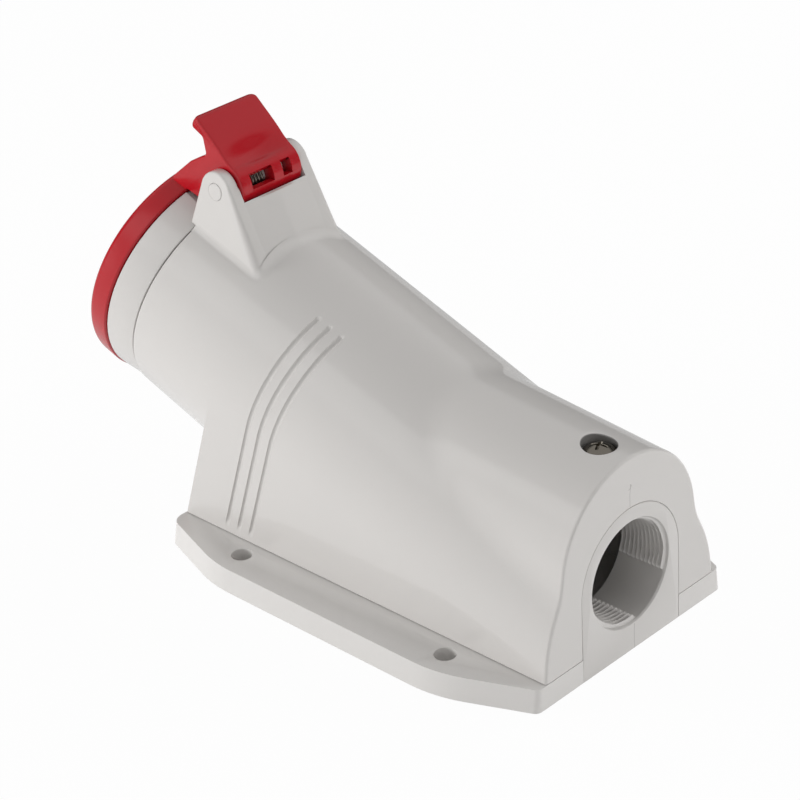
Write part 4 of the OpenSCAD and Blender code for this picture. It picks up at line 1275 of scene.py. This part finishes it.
class SOCKET_OT_housing(Operator):
    """Moulded housing with barrel, hood, grooves, arch and screw well"""
    bl_idname = "socket.housing"
    bl_label = "Housing"

    def execute(self, context):
        h, k, _, _ = sizes(context)
        place(housing_mesh(h, k), "housing_skin", ROOT, "shell_grey", ["housing"])
        return {"FINISHED"}


class SOCKET_OT_hinge(Operator):
    """Hinge pin and the spring on it"""
    bl_idname = "socket.hinge"
    bl_label = "Hinge pin and spring"

    def execute(self, context):
        h, k, _, _ = sizes(context)
        place(pin_mesh(h, k), "hinge_pin_turned", ROOT, "shell_grey", ["hinge_pin"])
        place(spring_mesh(h, k), "spring_coil", ROOT, "spring_steel", ["lid_spring"])
        return {"FINISHED"}


class SOCKET_OT_lid(Operator):
    """Red lid with its arm, knuckle and finger tab"""
    bl_idname = "socket.lid"
    bl_label = "Lid"

    def execute(self, context):
        h, k, lid, _ = sizes(context)
        place(lid_mesh(h, k, lid), "lid_skin", LID, "lid_red", ["lid"])
        return {"FINISHED"}


class SOCKET_OT_front(Operator):
    """Collar in front of the barrel"""
    bl_idname = "socket.front"
    bl_label = "Collar"

    def execute(self, context):
        h, _, _, c = sizes(context)
        place(collar_mesh(h, c), "collar_ring", ROOT, "shell_grey", ["collar"])
        return {"FINISHED"}


class SOCKET_OT_entry(Operator):
    """Entry panel with its thread, and the housing screw above it"""
    bl_idname = "socket.entry"
    bl_label = "Cable entry and screw"

    def execute(self, context):
        h, _, _, c = sizes(context)
        edge = 0.2
        panel = softened("entry_insert", "entry_panel", edge, panel_edges(h), thread_mesh(h, c),
                         widened(h, c))
        place(panel, "entry_panel", ROOT, "insert_grey", ["entry_insert"])
        place(screw_mesh(h, c), "pan_head_screw", ROOT, "screw_steel", ["housing_screw"])
        return {"FINISHED"}


class SOCKET_OT_base(Operator):
    """Base plate with softened edges"""
    bl_idname = "socket.base"
    bl_label = "Base plate"

    def execute(self, context):
        look, (_, _, _, c) = context.scene.socket_finish, sizes(context)
        mesh = softened("base_plate", "lugged_base", c.base_edge, base_edges)
        # the base plate's lighter grey is painted light for its weakly lit lug tops
        finish("base_grey", look.base, 0.34, look.grain, 0.35, coat=0.4)
        place(mesh, "lugged_base", ROOT, "base_grey", ["base_plate"])
        return {"FINISHED"}


class SOCKET_OT_finishes(Operator):
    """Finishes of the pieces, which those that keep their solid shape wear at once"""
    bl_idname = "socket.finishes"
    bl_label = "Finishes"

    def execute(self, context):
        look, (h, _, _, _) = context.scene.socket_finish, sizes(context)
        face_x = h.end_x - 0.2
        made = {
            # the shell's screw well is darkened as painted shade
            "shell": finish("shell_grey", look.shell, 0.4, look.grain, 0.35, coat=0.9, spec=0.3,
                            weld=(face_x, 0.3, 47, 52.2), painted_well_shade=(h.screw_x, 0, h.screw_well_r)),
            "insert": finish("insert_grey", look.insert, 0.34, look.grain, 0.35, coat=0.5, spec=0.6,
                             weld=(face_x, 1.2, -1, 8)),
            "carrier": finish("carrier_grey", look.carrier, 0.45, 0.2, 0.4),
            "lid": finish("lid_red", look.lid, 0.24, 0.12, 0.3, coat=0.12, spec=0.4),
            "rubber": finish("seal_rubber", look.rubber, 0.7, 0.3, 0.3),
            "steel": finish("screw_steel", look.steel, 0.2, 0.2, 0.2, metallic=1.0),
            "spring": finish("spring_steel", look.steel, 0.3, 0.2, 0.2, metallic=1.0),
            "brass": finish("contact_brass", look.brass, 0.3, 0.2, 0.2, metallic=1.0),
        }
        slots = {part["node"]: part["material_slot"] for part in frame["record"]["subparts"]}
        for name, obj in frame["nodes"].items():
            obj.data.materials.clear()
            obj.data.materials.append(made[slots[name]])
        return {"FINISHED"}


# Stage

TARGET = np.array([-14.2, 0.6, 50.7]) * MM    # point that the camera and the lamps look at
FLOOR_HALF, FLOOR_DROP = 3000, 0.3            # half width of the floor and its depth under the part
# name, place and size of each lamp, in metres
LAMPS = (("key", (-0.8, -0.85, 0.24), 0.5), ("fill", (1.0, 0.75, 0.4), 0.6),
         ("back", (0.1, 0.95, 0.7), 0.7))


def linked(scene, name, data, axes=None, at=None):
    """Object of some data in the scene, turned to three axes at a point where these are given."""
    obj = bpy.data.objects.new(name, data)
    scene.collection.objects.link(obj)
    if axes is not None:
        matrix = np.eye(4)
        matrix[:3, :3], matrix[:3, 3] = np.stack(axes, -1), at
        obj.matrix_world = Matrix(matrix)
    return obj


def aim_camera(scene, set_up):
    """Camera at the angle of the photograph."""
    az, el, roll = set_up.azimuth, set_up.elevation, set_up.roll
    back = np.array([math.sin(az) * math.cos(el), -math.cos(az) * math.cos(el), math.sin(el)])
    right = np.array([math.cos(az), math.sin(az), 0.0])
    up = np.cross(back, right)
    x = right * math.cos(roll) + up * math.sin(roll)
    y = -right * math.sin(roll) + up * math.cos(roll)
    data = bpy.data.cameras.new("camera")
    data.lens, data.sensor_width, data.clip_start = set_up.focal, 36.0, 0.01
    scene.camera = linked(scene, "camera", data, (x, y, back), TARGET + back * set_up.distance)


def light_world(scene, set_up):
    """White to the camera, an even light on the part, and a sky and a card for its reflections."""
    world = bpy.data.worlds.new("studio")
    scene.world = world
    world.use_nodes = True
    tree = world.node_tree
    sock = Sock(tree)
    camera_ray, glossy_ray = (sock.node("ShaderNodeLightPath", out=kind)
                              for kind in ("Is Camera Ray", "Is Glossy Ray"))
    way = sock.node("ShaderNodeTexCoord", out="Generated")
    height = sock.node("ShaderNodeSeparateXYZ", {0: way}, out="Z")
    front = sock.node("ShaderNodeSeparateXYZ", {0: way}, out="Y") * -1.0
    overhead = ease(height, 0.46, 0.62, set_up.low_sky, set_up.high_sky)
    card = ease(front, 0.44, 0.54, 0.0, set_up.card)
    around = set_up.ambient * (1.3 - 0.75 * height)
    even = around + glossy_ray * (overhead + card - around)
    strength = even + camera_ray * (1.0 - even)
    background = tree.nodes["Background"]
    background.inputs["Color"].default_value = (1, 1, 1, 1)
    tree.links.new(strength.out, background.inputs["Strength"])


def hang_lamps(scene, set_up):
    """Soft round lamps that face the target and stay out of the reflections."""
    for name, at, size in LAMPS:
        lamp = bpy.data.lights.new(name, "AREA")
        lamp.shape, lamp.size, lamp.energy = "DISK", size, getattr(set_up, name + "_power")
        away = unit(np.array(at) - TARGET)
        side = unit(np.cross([0, 0, 1.0], away))
        linked(scene, name, lamp, (side, np.cross(away, side), away), at).visible_glossy = False


def pale_paper(set_up):
    """Pale floor that shows white to the camera and, in front of the part, to reflections."""
    paper = bpy.data.materials.new("pale_floor")
    paper.use_nodes = True
    tree = paper.node_tree
    shader = tree.nodes["Principled BSDF"]
    shader.inputs["Base Color"].default_value = (0.9, 0.9, 0.9, 1)
    shader.inputs["Roughness"].default_value = 0.9
    sock = Sock(tree)
    seen_by, glossy, passing = (sock.node("ShaderNodeLightPath", out=f"Is {kind} Ray")
                                for kind in ("Camera", "Glossy", "Transmission"))
    at = sock.node("ShaderNodeTexCoord", out="Object")
    backwards = (-math.sin(set_up.azimuth), math.cos(set_up.azimuth), 0.0)
    across = sock.node("ShaderNodeVectorMath", {0: at, 1: backwards}, out="Value",
                       operation="DOT_PRODUCT")
    shade = ease(across, 0.02, 0.2, 1.0, set_up.far_floor)
    seen = sock.maths("MAXIMUM", seen_by, sock.maths("MAXIMUM", glossy, passing))
    bright = shade + seen_by * (1.0 - shade)
    glow = sock.node("ShaderNodeEmission", {"Color": (1, 1, 1, 1), "Strength": bright})
    mixed = sock.node("ShaderNodeMixShader", {
        0: seen * set_up.white, 1: Sock(tree, shader.outputs[0]), 2: glow})
    tree.links.new(mixed.out, tree.nodes["Material Output"].inputs["Surface"])
    return paper


class SOCKET_OT_stage(Operator):
    """Pale floor, soft studio light and the camera"""
    bl_idname = "socket.stage"
    bl_label = "Stage"

    def execute(self, context):
        scene, set_up = context.scene, context.scene.socket_stage
        scene.view_settings.view_transform = "Standard"
        aim_camera(scene, set_up)
        light_world(scene, set_up)
        hang_lamps(scene, set_up)
        floor = Shell()
        edge = np.linspace(-FLOOR_HALF, FLOOR_HALF, 25)
        x, y = np.meshgrid(edge, edge, indexing="ij")
        floor.grid(np.stack([x, y, 0 * x - FLOOR_DROP], -1))
        mesh = floor.mesh("floor")
        obj = linked(scene, "floor", mesh)
        mesh.materials.append(pale_paper(set_up))
        return {"FINISHED"}


class SOCKET_PT_panel(Panel):
    """Pieces of the socket in the order in which they are made"""
    bl_idname = "SOCKET_PT_panel"
    bl_label = "Angled socket"
    bl_space_type = "VIEW_3D"
    bl_region_type = "UI"
    bl_category = "Socket"

    def draw(self, context):
        for operator in OPERATORS:
            self.layout.operator(operator.bl_idname)
        for key in GROUPS:
            group = getattr(context.scene, key)
            box = self.layout.box()
            box.label(text=group.__doc__)
            for name in group.__annotations__:
                box.prop(group, name)


OPERATORS = (SOCKET_OT_finishes, SOCKET_OT_housing, SOCKET_OT_hinge, SOCKET_OT_lid, SOCKET_OT_front,
             SOCKET_OT_entry, SOCKET_OT_base, SOCKET_OT_stage)


def register():
    """Registers the settings, operators and panel."""
    for key, group in GROUPS.items():
        bpy.utils.register_class(group)
        setattr(bpy.types.Scene, key, PointerProperty(type=group))
    for cls in OPERATORS + (SOCKET_PT_panel,):
        bpy.utils.register_class(cls)


def unregister():
    """Removes the panel, operators and settings."""
    for cls in (SOCKET_PT_panel,) + OPERATORS[::-1]:
        bpy.utils.unregister_class(cls)
    for key, group in reversed(GROUPS.items()):
        delattr(bpy.types.Scene, key)
        bpy.utils.unregister_class(group)


def main():
    """Makes every piece and the stage."""
    register()
    for operator in OPERATORS:
        family, name = operator.bl_idname.split(".")
        getattr(getattr(bpy.ops, family), name)()


if __name__ == "__main__":
    main()
